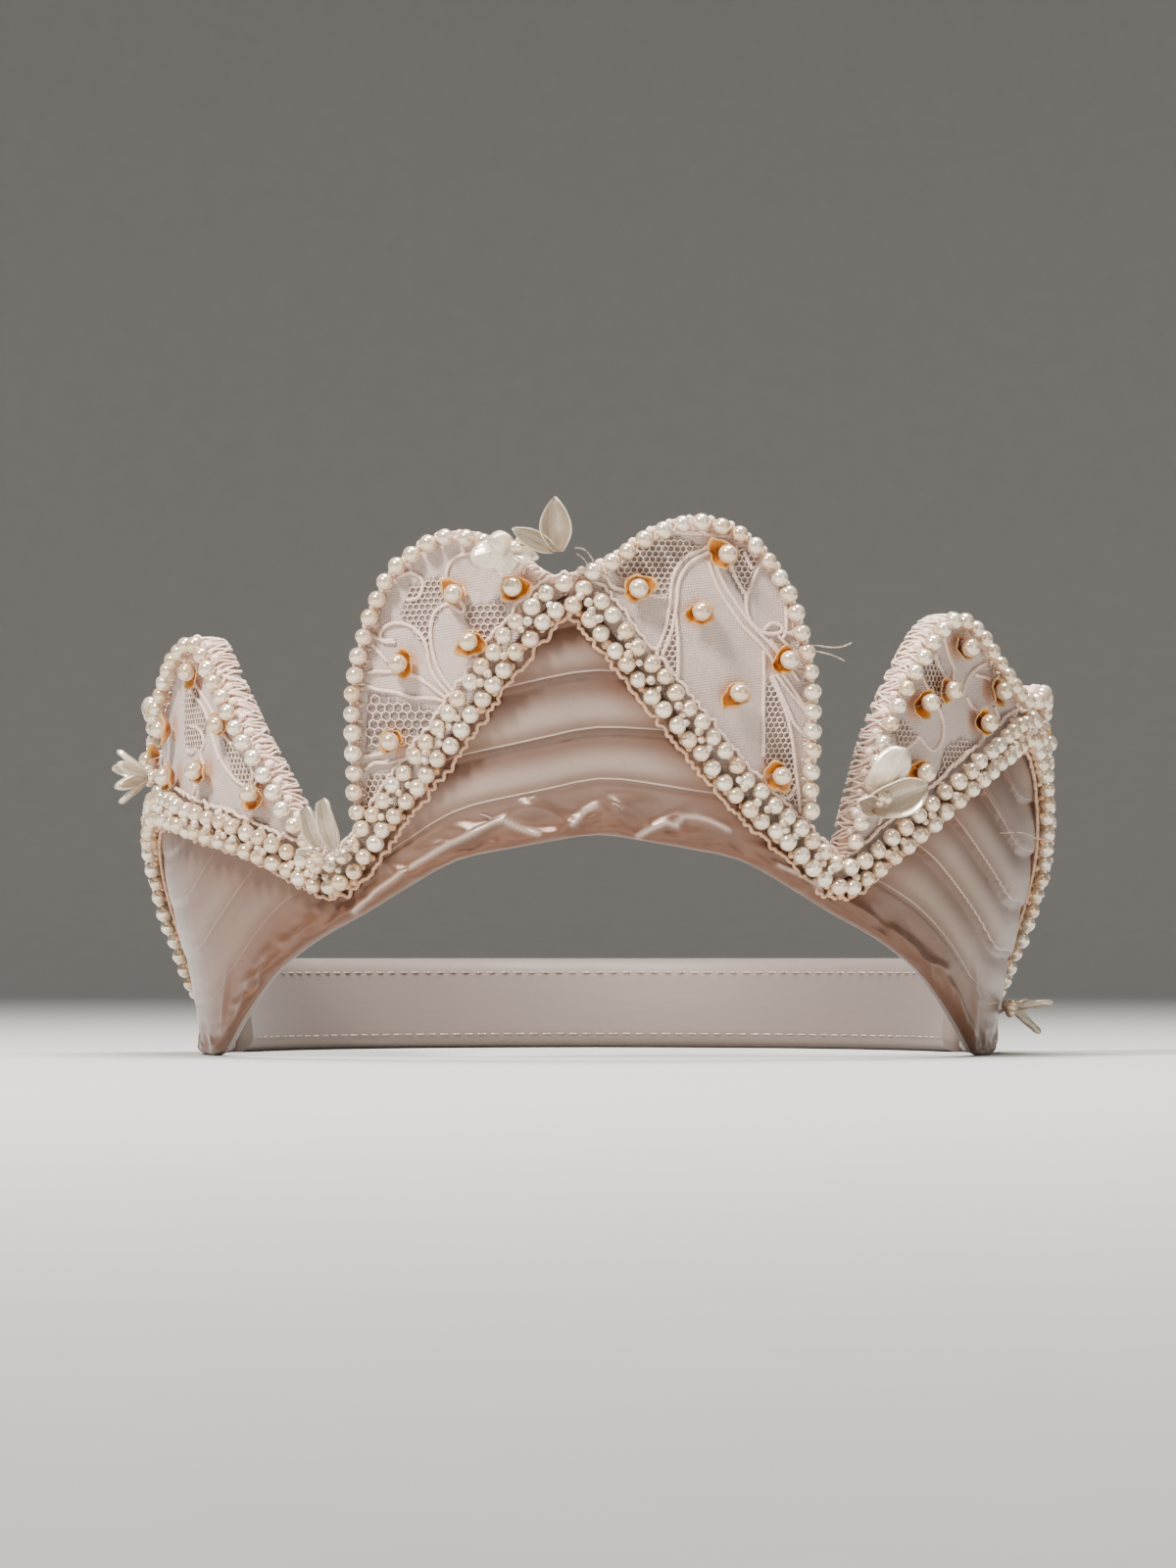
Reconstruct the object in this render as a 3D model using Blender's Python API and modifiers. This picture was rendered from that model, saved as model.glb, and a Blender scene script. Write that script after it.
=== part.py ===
"""Veil crown: a padded satin coronet with lace lobes, faux pearl rows and wax flowers.

Every place on the coronet is given by three values: the angle from the front, in degrees with the
wearer's left at plus, the height above the surface that the crown stands on, and how far out it lies
from the cloth's face. ring_point turns them into metres, with the front facing -Y.
"""
import math

import bmesh
import bpy
from mathutils import Matrix, Vector

# Ring and walls
ring_half_width = 0.0685
ring_back_depth = 0.0762
crown_height = 0.0872
arch_height = 0.0366
flare_out = 0.0070
flare_height = 0.0400
satin_thickness = 0.0030
back_band_height = 0.0165
back_band_thickness = 0.0060
lobe_thickness = 0.0042
lobe_rim_rounding = 0.0004

# Clearances between pieces
piece_gap = 0.0003
joint_gap = 0.0005

# Pearls and their rows
pearl_diameter = 0.0030
rope_row_spacing = 0.0034
rope_point_spacing = 0.0060
edge_row_inset = 0.0010
edge_point_spacing = 0.0062
cup_radius = 0.0017
cup_height = 0.0007

# Pleats of the satin
pleat_depth = 0.0008
pleat_pitch = 0.0087
pleat_fade = 0.0050

# Wax petals
petal_thickness = 0.0016
petal_cup = 0.0008
flower_core_radius = 0.0014
petal_root_share = 0.35

# Fineness of the meshes
columns_per_arm = 8
satin_rows = 12
lobe_rows = 5
back_columns = 27
bead_sides = 10
joint_rounding = 2.5

# The lower edge: angle from the front, share of arch_height
FOOT_LINE = (
    (0.0, 1.00),
    (20.0, 0.89),
    (35.0, 0.64),
    (43.0, 0.54),
    (52.0, 0.40),
    (61.0, 0.20),
    (70.0, 0.00),
)

# Corners of the zigzag joint between satin and lace, as angles: end, peak, valley and so on
CORNER_ANGLES = (-104.0, -76.0, -38.5, -3.0, 34.5, 71.4, 104.0)

# The zigzag joint: angle, share of crown_height
JOINT_LINE = (
    (-104.0, 0.120),
    (-94.0, 0.260),
    (-86.0, 0.420),
    (-76.0, 0.482),
    (-58.0, 0.436),
    (-47.0, 0.386),
    (-38.5, 0.335),
    (-28.8, 0.456),
    (-18.1, 0.623),
    (-8.4, 0.800),
    (-3.0, 0.868),
    (1.0, 0.795),
    (11.1, 0.622),
    (20.0, 0.487),
    (29.1, 0.388),
    (34.5, 0.330),
    (42.3, 0.404),
    (55.3, 0.545),
    (66.3, 0.618),
    (71.4, 0.632),
    (80.0, 0.565),
    (87.0, 0.430),
    (94.0, 0.275),
    (104.0, 0.120),
)

# Outlines of the lobes: share of the way from valley to peak, share of the rise from the valley's
# joint to the lobe's own top
WIDE_OUTLINE = (
    (0.00, 0.03), (0.13, 0.12), (0.155, 0.28), (0.17, 0.42), (0.20, 0.60), (0.27, 0.78),
    (0.34, 0.885), (0.45, 0.965), (0.57, 1.00), (0.70, 0.985), (0.81, 0.93), (0.90, 0.87), (1.00, 0.84),
)
SIDE_LEFT_OUTLINE = (
    (0.00, 0.03), (0.06, 0.17), (0.13, 0.26), (0.20, 0.45), (0.34, 0.68), (0.45, 0.83),
    (0.54, 0.96), (0.61, 1.00), (0.70, 0.97), (0.82, 0.92), (0.93, 0.81), (1.00, 0.74),
)
SIDE_RIGHT_OUTLINE = (
    (0.00, 0.03), (0.03, 0.22), (0.05, 0.42), (0.08, 0.575), (0.135, 0.695), (0.205, 0.81),
    (0.31, 0.95), (0.40, 1.00), (0.50, 0.99), (0.63, 0.905), (0.76, 0.79), (0.88, 0.73), (1.00, 0.70),
)
END_OUTLINE = (
    (0.00, 0.03), (0.10, 0.35), (0.17, 0.60), (0.26, 0.80), (0.40, 0.93), (0.55, 1.00),
    (0.70, 0.995), (0.85, 0.97), (1.00, 0.945),
)

# The lobes: valley corner, peak corner, top as a share of crown_height, outline, and where its row of
# pearls stops on the peak's side, as a share of the way
LOBES = (
    (0, 1, 0.700, END_OUTLINE, 1.00),
    (2, 1, 0.803, SIDE_LEFT_OUTLINE, 1.00),
    (2, 3, 0.975, WIDE_OUTLINE, 0.84),
    (4, 3, 1.000, WIDE_OUTLINE, 0.95),
    (4, 5, 0.837, SIDE_RIGHT_OUTLINE, 1.00),
    (6, 5, 0.722, END_OUTLINE, 1.00),
)

# Sewn cup sequins with their pearls: lobe, share of the way from valley to peak, share of the rise
SEWN_PEARLS = (
    (1, 0.63, 0.85), (1, 0.89, 0.63), (1, 0.43, 0.63), (1, 0.84, 0.43), (1, 0.57, 0.44), (1, 0.29, 0.34),
    (2, 0.58, 0.82), (2, 0.39, 0.62), (2, 0.65, 0.67), (2, 0.32, 0.40), (2, 0.82, 0.84),
    (3, 0.53, 0.92), (3, 0.79, 0.80), (3, 0.59, 0.73), (3, 0.46, 0.51), (3, 0.28, 0.29), (3, 0.27, 0.59),
    (4, 0.48, 0.90), (4, 0.38, 0.71), (4, 0.25, 0.65), (4, 0.74, 0.73), (4, 0.59, 0.60), (4, 0.27, 0.40),
    (0, 0.50, 0.80), (5, 0.50, 0.82),
)

# Wax flowers: name, angle, share of crown_height, rows of pearls that it sits on, and the petals as
# turn from upright towards the wearer's left, lift away from the cloth, length and width
FLOWERS = (
    ("wax_flower_left_peak", -82.0, 0.545, 0, (
        (0.0, 45.0, 0.0070, 0.0024), (55.0, 50.0, 0.0070, 0.0024), (115.0, 50.0, 0.0068, 0.0024),
        (175.0, 42.0, 0.0070, 0.0024), (240.0, 52.0, 0.0070, 0.0024), (300.0, 55.0, 0.0072, 0.0024))),
    ("wax_flower_top", -9.6, 0.938, 1, (
        (-92.0, 6.0, 0.0105, 0.0062), (5.0, 12.0, 0.0058, 0.0028),
        (42.0, 10.0, 0.0108, 0.0036), (84.0, 14.0, 0.0085, 0.0032))),
    ("wax_flower_left_valley", -37.8, 0.376, 1, (
        (-24.0, 16.0, 0.0088, 0.0034), (16.0, 12.0, 0.0082, 0.0032), (75.0, 20.0, 0.0046, 0.0026))),
    ("wax_leaf_right_valley", 36.4, 0.480, 1, (
        (14.0, 14.0, 0.0112, 0.0066), (72.0, 18.0, 0.0068, 0.0038))),
    ("wax_flower_right_end", 84.0, 0.095, 0, (
        (10.0, 68.0, 0.0072, 0.0026), (165.0, 50.0, 0.0070, 0.0026), (60.0, 50.0, 0.0040, 0.0022))),
)


def smooth_step(share):
    share = min(1.0, max(0.0, share))
    return share * share * (3.0 - 2.0 * share)


def on_straight_table(table, position):
    """The value at a position on a table of straight stretches."""
    for (start, first), (end, second) in zip(table, table[1:]):
        if position <= end:
            return first + (second - first) * (position - start) / (end - start)
    return table[-1][1]


def on_smooth_table(table, position):
    """The value at a position on a curve that keeps the table's peaks and valleys."""
    index = 0
    while index < len(table) - 2 and position > table[index + 1][0]:
        index += 1

    def slope(at):
        if at < 0 or at > len(table) - 2:
            return 0.0
        return (table[at + 1][1] - table[at][1]) / (table[at + 1][0] - table[at][0])

    def tangent(at):
        before, after = slope(at - 1), slope(at)
        if before * after <= 0.0:
            return 0.0
        return 2.0 * before * after / (before + after)

    width = table[index + 1][0] - table[index][0]
    share = min(1.0, max(0.0, (position - table[index][0]) / width))
    rest = 1.0 - share
    return (table[index][1] * rest * rest * (1.0 + 2.0 * share)
            + table[index + 1][1] * share * share * (3.0 - 2.0 * share)
            + tangent(index) * width * share * rest * rest
            - tangent(index + 1) * width * share * share * rest)


def foot_height(angle):
    return arch_height * on_straight_table(FOOT_LINE, min(abs(angle), FOOT_LINE[-1][0]))


def joint_height(angle):
    """Height of the zigzag joint, with its corners rounded by averaging near each angle."""
    steps = (-1.0, -0.5, 0.0, 0.5, 1.0)
    shares = [on_smooth_table(JOINT_LINE, angle + step * joint_rounding) for step in steps]
    return crown_height * sum(shares) / len(shares)


def ring_point(angle, height, out=0.0):
    """A place on the ring: the wall stands on its foot line and flares outwards as it rises."""
    turn = math.radians(angle)
    flare = flare_out * smooth_step((height - foot_height(angle)) / flare_height)
    half_width = ring_half_width + flare
    depth = half_width if math.cos(turn) > 0.0 else ring_back_depth + flare
    place = Vector((half_width * math.sin(turn), -depth * math.cos(turn), height))
    away = Vector((math.sin(turn) / half_width, -math.cos(turn) / depth, 0.0)).normalized()
    return place + away * out


def ring_axes(angle, height):
    """Sideways, up and out at a place on the ring, as unit vectors."""
    step = 0.5
    side = (ring_point(angle + step, height) - ring_point(angle - step, height)).normalized()
    rise = (ring_point(angle, height + 0.001) - ring_point(angle, height - 0.001)).normalized()
    out = side.cross(rise).normalized()
    return side, out.cross(side).normalized(), out


def unrolled(angle, height):
    """The same place on the cloth laid flat, in metres."""
    return Vector((math.radians(angle) * (ring_half_width + flare_out), height))


def rolled(flat):
    """Angle and height of a place on the cloth laid flat."""
    return math.degrees(flat.x / (ring_half_width + flare_out)), flat.y


def lobe_outline(lobe, share):
    """Angle and height on a lobe's outline, at a share of its length from valley to peak."""
    valley, peak, top, outline, _ = LOBES[lobe]
    start, end = CORNER_ANGLES[valley], CORNER_ANGLES[peak]
    foot = joint_height(start)
    rise = crown_height * top - foot
    corners = [unrolled(start + (end - start) * across, foot + rise * up) for across, up in outline]
    for _ in range(2):
        corners = [corners[0]] + [
            point
            for first, second in zip(corners, corners[1:])
            for point in (first.lerp(second, 0.25), first.lerp(second, 0.75))
        ] + [corners[-1]]
    lengths = [0.0]
    for first, second in zip(corners, corners[1:]):
        lengths.append(lengths[-1] + (second - first).length)
    target = share * lengths[-1]
    for index in range(len(corners) - 1):
        if target <= lengths[index + 1] + 1e-9:
            part = (target - lengths[index]) / max(1e-9, lengths[index + 1] - lengths[index])
            return rolled(corners[index].lerp(corners[index + 1], part))
    return rolled(corners[-1])


def collection(name):
    group = bpy.data.collections.new(name)
    bpy.context.scene.collection.children.link(group)
    return group


def finish(name, color, roughness, sheen=0.0, coat=0.0):
    material = bpy.data.materials.new(name)
    material.use_nodes = True
    shader = material.node_tree.nodes["Principled BSDF"]
    shader.inputs["Base Color"].default_value = (*color, 1.0)
    shader.inputs["Roughness"].default_value = roughness
    shader.inputs["Metallic"].default_value = 0.0
    shader.inputs["Sheen Weight"].default_value = sheen
    shader.inputs["Coat Weight"].default_value = coat
    return material


def place_object(name, data, material, group, parent):
    thing = bpy.data.objects.new(name, data)
    if material is not None:
        data.materials.clear()
        data.materials.append(material)
    group.objects.link(thing)
    thing.parent = parent
    return thing


def thick_sheet(name, shape, columns, rows, material, group, parent):
    """A closed wall: a grid and its copy, placed by shape(across, up, inner) with shares from 0 to 1."""
    sheet = bmesh.new()
    bmesh.ops.create_grid(sheet, x_segments=columns, y_segments=rows, size=0.5)
    inner = bmesh.ops.extrude_face_region(sheet, geom=sheet.faces[:])["geom"]
    for corner in inner:
        if isinstance(corner, bmesh.types.BMVert):
            corner.co.z = 1.0
    for corner in sheet.verts:
        corner.co = shape(corner.co.x + 0.5, corner.co.y + 0.5, corner.co.z)
    bmesh.ops.recalc_face_normals(sheet, faces=sheet.faces[:])
    if sheet.calc_volume(signed=True) < 0.0:
        bmesh.ops.reverse_faces(sheet, faces=sheet.faces[:])
    mesh = bpy.data.meshes.new(name)
    sheet.to_mesh(mesh)
    sheet.free()
    mesh.shade_smooth()
    mesh.set_sharp_from_angle(angle=math.radians(50.0))
    return place_object(name, mesh, material, group, parent)


def pleat_relief(angle, height):
    """How far a pleat's valley lies behind the satin's face; none at the hem and under the rope."""
    foot, top = foot_height(angle), joint_height(angle)
    above = height - foot
    fade = smooth_step(above / pleat_fade) * smooth_step((top - height) / pleat_fade)
    wave = 0.5 - 0.5 * math.cos(2.0 * math.pi * above / pleat_pitch)
    return -pleat_depth * fade * wave


def satin_front(material, group, parent):
    arms = len(CORNER_ANGLES) - 1
    columns = arms * columns_per_arm

    def shape(across, up, inner):
        place = across * arms
        arm = min(arms - 1, int(place + 1e-6))
        start, end = CORNER_ANGLES[arm], CORNER_ANGLES[arm + 1]
        angle = start + (end - start) * (place - arm)
        foot, top = foot_height(angle), joint_height(angle) - joint_gap / 2.0
        height = foot + (top - foot) * up
        out = -satin_thickness if inner > 0.5 else pleat_relief(angle, height)
        return ring_point(angle, height, out)

    thick_sheet("satin_band_front", shape, columns, satin_rows, material, group, parent)


def satin_back(material, group, parent):
    """The plain band behind, between the ends of the front one."""
    clear = math.degrees(piece_gap / ring_half_width)
    start = CORNER_ANGLES[-1] + clear
    end = 360.0 + CORNER_ANGLES[0] - clear

    def shape(across, up, inner):
        angle = start + (end - start) * across
        out = -back_band_thickness if inner > 0.5 else 0.0
        height = back_band_height * up
        return ring_point(angle, height, out)

    thick_sheet("satin_band_back", shape, back_columns, 1, material, group, parent)


def lace_lobe(lobe, material, group, parent):
    valley, peak = LOBES[lobe][:2]
    start, end = CORNER_ANGLES[valley], CORNER_ANGLES[peak]
    inset = math.degrees(piece_gap / 2.0 / ring_half_width) * (1.0 if end > start else -1.0)
    columns = 2 * columns_per_arm

    def shape(across, up, inner):
        column = across * columns_per_arm
        before = min(columns_per_arm - 1, int(column + 1e-6))
        stations = [start + (end - start) * (before + step) / columns_per_arm for step in (0, 1)]
        heights = [joint_height(station) for station in stations]
        part = column - before
        angle = stations[0] + (stations[1] - stations[0]) * part
        low = unrolled(angle, heights[0] + (heights[1] - heights[0]) * part + joint_gap / 2.0)
        high = unrolled(*lobe_outline(lobe, across))
        least = low.y + lobe_thickness / 2.0
        high.y = max(high.y, least if across in (0.0, 1.0) else high.y)
        angle, height = rolled(low.lerp(high, up))
        low_angle, high_angle = sorted((start + inset, end - inset))
        angle = min(high_angle, max(low_angle, angle))
        rim = lobe_rim_rounding if up > 0.999 or across < 0.001 or across > 0.999 else 0.0
        out = rim - lobe_thickness if inner > 0.5 else -rim
        return ring_point(angle, height, out)

    thick_sheet("lace_lobe_%d" % lobe, shape, columns, lobe_rows, material, group, parent)


def evenly(route, spacing):
    """Points at even distances along a finely drawn flat route, with its first and last kept."""
    lengths = [0.0]
    for first, second in zip(route, route[1:]):
        lengths.append(lengths[-1] + (second - first).length)
    count = max(2, round(lengths[-1] / spacing))
    points, index = [], 0
    for step in range(count + 1):
        target = lengths[-1] * step / count
        while index < len(route) - 2 and lengths[index + 1] < target:
            index += 1
        part = (target - lengths[index]) / max(1e-9, lengths[index + 1] - lengths[index])
        points.append(route[index].lerp(route[index + 1], part))
    return points


def shifted(points, distance):
    """The flat route moved sideways, to its left for a positive distance."""
    moved = []
    for index, point in enumerate(points):
        along = points[min(index + 1, len(points) - 1)] - points[max(index - 1, 0)]
        along.normalize()
        moved.append(point + Vector((-along.y, along.x)) * distance)
    return moved


def pearl_tube(name, flat_points, material, group, parent):
    """The solid of a row of pearls: a tube on the cloth's face along a flat route."""
    seat = piece_gap + pearl_diameter / 2.0
    curve = bpy.data.curves.new(name, "CURVE")
    curve.dimensions = "3D"
    curve.bevel_depth = pearl_diameter / 2.0
    curve.bevel_resolution = 2
    curve.use_fill_caps = True
    spline = curve.splines.new("POLY")
    spline.points.add(len(flat_points) - 1)
    for point, flat in zip(spline.points, flat_points):
        angle, height = rolled(flat)
        point.co = (*ring_point(angle, height, seat), 1.0)
    return place_object(name, curve, material, group, parent)


def joint_route():
    """The zigzag joint, finely drawn on the flat cloth, short of the front band's two ends."""
    margin = math.degrees(pearl_diameter / ring_half_width)
    start, end = CORNER_ANGLES[0] + margin, CORNER_ANGLES[-1] - margin
    steps = 600
    angles = [start + (end - start) * step / steps for step in range(steps + 1)]
    return [unrolled(angle, joint_height(angle)) for angle in angles]


def pearl_rope(material, group, parent):
    centre = evenly(joint_route(), rope_point_spacing)
    for name, side in (("pearl_rope_upper", 0.5), ("pearl_rope_lower", -0.5)):
        pearl_tube(name, shifted(centre, side * rope_row_spacing), material, group, parent)


def distance_to(route, point):
    nearest = min(route, key=lambda place: (place - point).length)
    return (nearest - point).length, nearest


def pearl_edges(material, group, parent):
    """The single row on each lobe, from where it clears the rope to its stop beside the peak."""
    joint = joint_route()
    clear = rope_row_spacing / 2.0 + pearl_diameter + piece_gap
    for lobe, (valley, peak, _, _, stop) in enumerate(LOBES):
        start, end = CORNER_ANGLES[valley], CORNER_ANGLES[peak]
        outline = [unrolled(*lobe_outline(lobe, step / 200.0)) for step in range(201)]
        inwards = -1.0 if end > start else 1.0
        row = shifted(outline, inwards * edge_row_inset)
        sides = sorted((start, end))
        margin = math.degrees((pearl_diameter + piece_gap) / 2.0 / ring_half_width)
        kept = []
        for point in row:
            angle = rolled(point)[0]
            way = (angle - start) / (end - start)
            inside = sides[0] + margin < angle < sides[1] - margin
            if way <= stop and inside and distance_to(joint, point)[0] >= clear:
                kept.append(point)
        pearl_tube("pearl_edge_%d" % lobe, evenly(kept, edge_point_spacing), material, group, parent)


def kept_clear(point, joint, outline, lobe_centre):
    """A sewn pearl's place on the flat cloth, moved off the rope and off the edge row."""
    from_joint = rope_row_spacing / 2.0 + pearl_diameter / 2.0 + piece_gap + cup_radius
    from_edge = edge_row_inset + pearl_diameter / 2.0 + piece_gap + cup_radius
    for _ in range(12):
        distance, nearest = distance_to(joint, point)
        if distance < from_joint:
            point = nearest + (point - nearest).normalized() * (from_joint + piece_gap)
        distance, nearest = distance_to(outline, point)
        if distance < from_edge:
            point = point + (lobe_centre - point).normalized() * (from_edge - distance + piece_gap)
    return point


def sewn_profile(material):
    """Half a section of the pearl on its cup sequin, from the pearl's top down its outer side."""
    radius = pearl_diameter / 2.0
    middle = cup_height + radius
    section = [(0.0, middle + radius)]
    section += [
        (radius * math.sin(math.radians(polar)), middle + radius * math.cos(math.radians(polar)))
        for polar in (50.0, 100.0)
    ]
    section += [(cup_radius, cup_height), (cup_radius * 0.8, 0.0), (0.0, 0.0)]
    mesh = bpy.data.meshes.new("sewn_pearl_section")
    corners = [(across, 0.0, up) for across, up in section]
    mesh.from_pydata(corners, [(index, index + 1) for index in range(len(corners) - 1)], [])
    mesh.materials.append(material)
    return mesh


def sewn_pearls(material, group, parent):
    profile = sewn_profile(material)
    joint = joint_route()
    for number, (lobe, across, up) in enumerate(SEWN_PEARLS, start=1):
        valley, peak, top = LOBES[lobe][:3]
        start, end = CORNER_ANGLES[valley], CORNER_ANGLES[peak]
        foot = joint_height(start)
        outline = [unrolled(*lobe_outline(lobe, step / 80.0)) for step in range(81)]
        centre = sum(outline, Vector((0.0, 0.0))) / len(outline)
        height = foot + (crown_height * top - foot) * up
        point = kept_clear(unrolled(start + (end - start) * across, height), joint, outline, centre)
        angle, height = rolled(point)
        side, rise, out = ring_axes(angle, height)
        bead = place_object("sewn_pearl_%02d" % number, profile, None, group, parent)
        bead.matrix_local = (Matrix.Translation(ring_point(angle, height, piece_gap))
                             @ Matrix((side, rise, out)).transposed().to_4x4())
        turned = bead.modifiers.new("turned", "SCREW")
        turned.axis = "Z"
        turned.steps = bead_sides
        turned.render_steps = bead_sides
        turned.use_merge_vertices = True
        turned.merge_threshold = 0.00001


def petal_mesh(name, length, width):
    """A slender petal along +Y, from just inside the flower's core, cupped towards +Z."""
    root = flower_core_radius * petal_root_share
    petal = bmesh.new()
    bmesh.ops.create_uvsphere(petal, u_segments=8, v_segments=5, radius=0.5)
    for corner in petal.verts:
        across, along, thick = corner.co.x, corner.co.z, corner.co.y
        corner.co = Vector((width * across, root + (length - root) * (along + 0.5),
                            petal_thickness * thick + petal_cup * (2.0 * across) ** 2))
    bmesh.ops.recalc_face_normals(petal, faces=petal.faces[:])
    mesh = bpy.data.meshes.new(name)
    petal.to_mesh(mesh)
    petal.free()
    mesh.shade_smooth()
    return mesh


def wax_flowers(material, group, cutters, parent):
    """Petals fused to a small core that sits on the pearls in front of the cloth."""
    for name, angle, share, rows_below, petals in FLOWERS:
        core_out = piece_gap + rows_below * (piece_gap + pearl_diameter) + flower_core_radius
        height = crown_height * share
        side, rise, out = ring_axes(angle, height)
        middle = ring_point(angle, height, core_out)
        core = bmesh.new()
        bmesh.ops.create_uvsphere(core, u_segments=8, v_segments=5, radius=flower_core_radius)
        mesh = bpy.data.meshes.new(name)
        core.to_mesh(mesh)
        core.free()
        mesh.shade_smooth()
        flower = place_object(name, mesh, material, group, parent)
        seat = Matrix.Translation(middle) @ Matrix((side, rise, out)).transposed().to_4x4()
        flower.matrix_local = seat
        for number, (turn, lift, length, width) in enumerate(petals, start=1):
            shape = petal_mesh("%s_petal_%d" % (name, number), length, width)
            petal = place_object(shape.name, shape, None, cutters, parent)
            petal.hide_render = True
            petal.display_type = "WIRE"
            petal.matrix_local = (seat @ Matrix.Rotation(math.radians(-turn), 4, "Z")
                                  @ Matrix.Rotation(math.radians(lift), 4, "X"))
            joined = flower.modifiers.new("petal_%d" % number, "BOOLEAN")
            joined.operation = "UNION"
            joined.solver = "EXACT"
            joined.object = petal


def centre_on_base(group, parent):
    """Sets the middle of the crown's own box, at its base, on the origin."""
    bpy.context.view_layer.update()
    depsgraph = bpy.context.evaluated_depsgraph_get()
    low, high = Vector((1e9, 1e9, 1e9)), Vector((-1e9, -1e9, -1e9))
    for thing in group.objects:
        if thing.type not in {"MESH", "CURVE"}:
            continue
        evaluated = thing.evaluated_get(depsgraph)
        mesh = evaluated.to_mesh()
        for corner in mesh.vertices:
            place = thing.matrix_world @ corner.co
            low = Vector(map(min, low, place))
            high = Vector(map(max, high, place))
        evaluated.to_mesh_clear()
    parent.location = (-(low.x + high.x) / 2.0, -(low.y + high.y) / 2.0, -low.z)


def main():
    for thing in list(bpy.data.objects):
        bpy.data.objects.remove(thing, do_unlink=True)
    crown = collection("veil_crown")
    cutters = collection("cutters")
    middle = bpy.data.objects.new("crown_middle", None)
    crown.objects.link(middle)

    satin = finish("blush_satin", (0.39, 0.31, 0.27), 0.42, sheen=0.3)
    lace = finish("lace_over_net", (0.58, 0.49, 0.46), 0.8, sheen=0.2)
    pearl = finish("faux_pearl", (0.70, 0.55, 0.38), 0.22, coat=0.5)
    amber = finish("aged_amber_cup", (0.55, 0.19, 0.02), 0.25)
    wax = finish("pearlised_wax", (0.72, 0.65, 0.54), 0.35, coat=0.3)

    satin_front(satin, crown, middle)
    satin_back(satin, crown, middle)
    for lobe in range(len(LOBES)):
        lace_lobe(lobe, lace, crown, middle)
    pearl_rope(pearl, crown, middle)
    pearl_edges(pearl, crown, middle)
    sewn_pearls(amber, crown, middle)
    wax_flowers(wax, crown, cutters, middle)
    centre_on_base(crown, middle)


main()
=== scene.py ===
"""Veil crown, dressed: pleated satin, lace lobes, faux pearls, amber cup sequins and wax flowers.

Places on the crown are an angle from the front in degrees, a height above the surface that it stands
on, and a distance out from the cloth's face. ring_point turns them into metres in the frame's space.
"""
import math
import random

import bmesh
import bpy
from mathutils import Matrix, Vector, noise


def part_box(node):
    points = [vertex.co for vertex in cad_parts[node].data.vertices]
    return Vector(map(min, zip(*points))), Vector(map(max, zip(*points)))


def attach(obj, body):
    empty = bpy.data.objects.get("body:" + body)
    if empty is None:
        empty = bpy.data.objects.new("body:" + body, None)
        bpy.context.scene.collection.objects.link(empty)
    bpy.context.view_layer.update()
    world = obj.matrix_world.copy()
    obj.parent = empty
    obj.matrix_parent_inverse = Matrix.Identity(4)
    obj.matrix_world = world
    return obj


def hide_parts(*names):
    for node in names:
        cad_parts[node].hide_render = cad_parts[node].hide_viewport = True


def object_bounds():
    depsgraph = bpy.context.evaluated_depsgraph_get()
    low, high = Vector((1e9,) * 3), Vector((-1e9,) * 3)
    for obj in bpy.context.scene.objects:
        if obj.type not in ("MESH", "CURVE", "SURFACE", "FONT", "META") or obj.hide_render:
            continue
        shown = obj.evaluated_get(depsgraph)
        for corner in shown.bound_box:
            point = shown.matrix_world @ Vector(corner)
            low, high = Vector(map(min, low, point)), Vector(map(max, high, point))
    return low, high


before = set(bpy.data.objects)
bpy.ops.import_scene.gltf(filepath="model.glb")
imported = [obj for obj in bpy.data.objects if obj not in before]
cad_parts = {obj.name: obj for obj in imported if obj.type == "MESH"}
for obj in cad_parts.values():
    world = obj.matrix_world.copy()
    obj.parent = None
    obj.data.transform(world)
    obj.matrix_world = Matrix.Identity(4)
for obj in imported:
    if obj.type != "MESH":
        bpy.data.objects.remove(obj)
cad_low, cad_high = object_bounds()

bl_info = {
    "name": "Veil crown",
    "version": (1, 0, 0),
    "blender": (4, 5, 0),
    "location": "View3D > Sidebar > Veil crown",
    "description": "Dresses the crown's solids in satin, lace, pearls and wax",
    "category": "Object",
}

# Sizes of the ring and its walls, as in the solids
ring_half_width = 0.0685
ring_back_depth = 0.0762
crown_height = 0.0872
arch_height = 0.0366
flare_out = 0.0070
flare_height = 0.0400
satin_thickness = 0.0030
back_band_height = 0.0165
back_band_thickness = 0.0060
back_band_facets = 27
lobe_thickness = 0.0042
pearl_seat = 0.0003
pearl_across = 0.0030
joint_rounding = 2.5
satin_rim = 0.0014
lobe_rim = 0.0016
back_band_rim = 0.0028
band_gap = 0.25
hem_depth = 0.016
first_pleat = 0.9
fold_width = 0.00080
fold_rise = 0.00062
ridge_width = 0.00042
ridge_rise = 0.00042
pillow_rise = 0.0008
stain_radius = 0.0020
tape_width = 0.0066

# Threads, cords and small beads, by their radius, and how far they stand off the cloth
gimp_upper_radius = 0.00032
gimp_lower_radius = 0.00034
seed_radius = 0.00068
knot_radius = 0.00072
heart_radius = 0.0009
flower_core_radius = 0.0014
stem_radius = 0.00035
stitch_radius = 0.00014
pearl_stitch_radius = 0.00009
loose_thread_radius = 0.00012
net_lift = 0.00022
cord_lift = 0.00020
gimp_lift = 0.00030
stitch_pitch = 0.0030
cup_seat = 0.00035
cup_pearl_out = 0.0023
cup_stitch_length = 0.0022
rope_jitter = 0.00022
edge_jitter = 0.00014
heart_spread = 0.0012
seed_pitch = 0.0018
gimp_pitch = 0.00032
rim_pitch = 0.00072
rim_lift = 0.00005
edge_inset = 0.0009
edge_clear = 0.0052
millimetre = 0.001
whole_turn = 6.28

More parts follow.
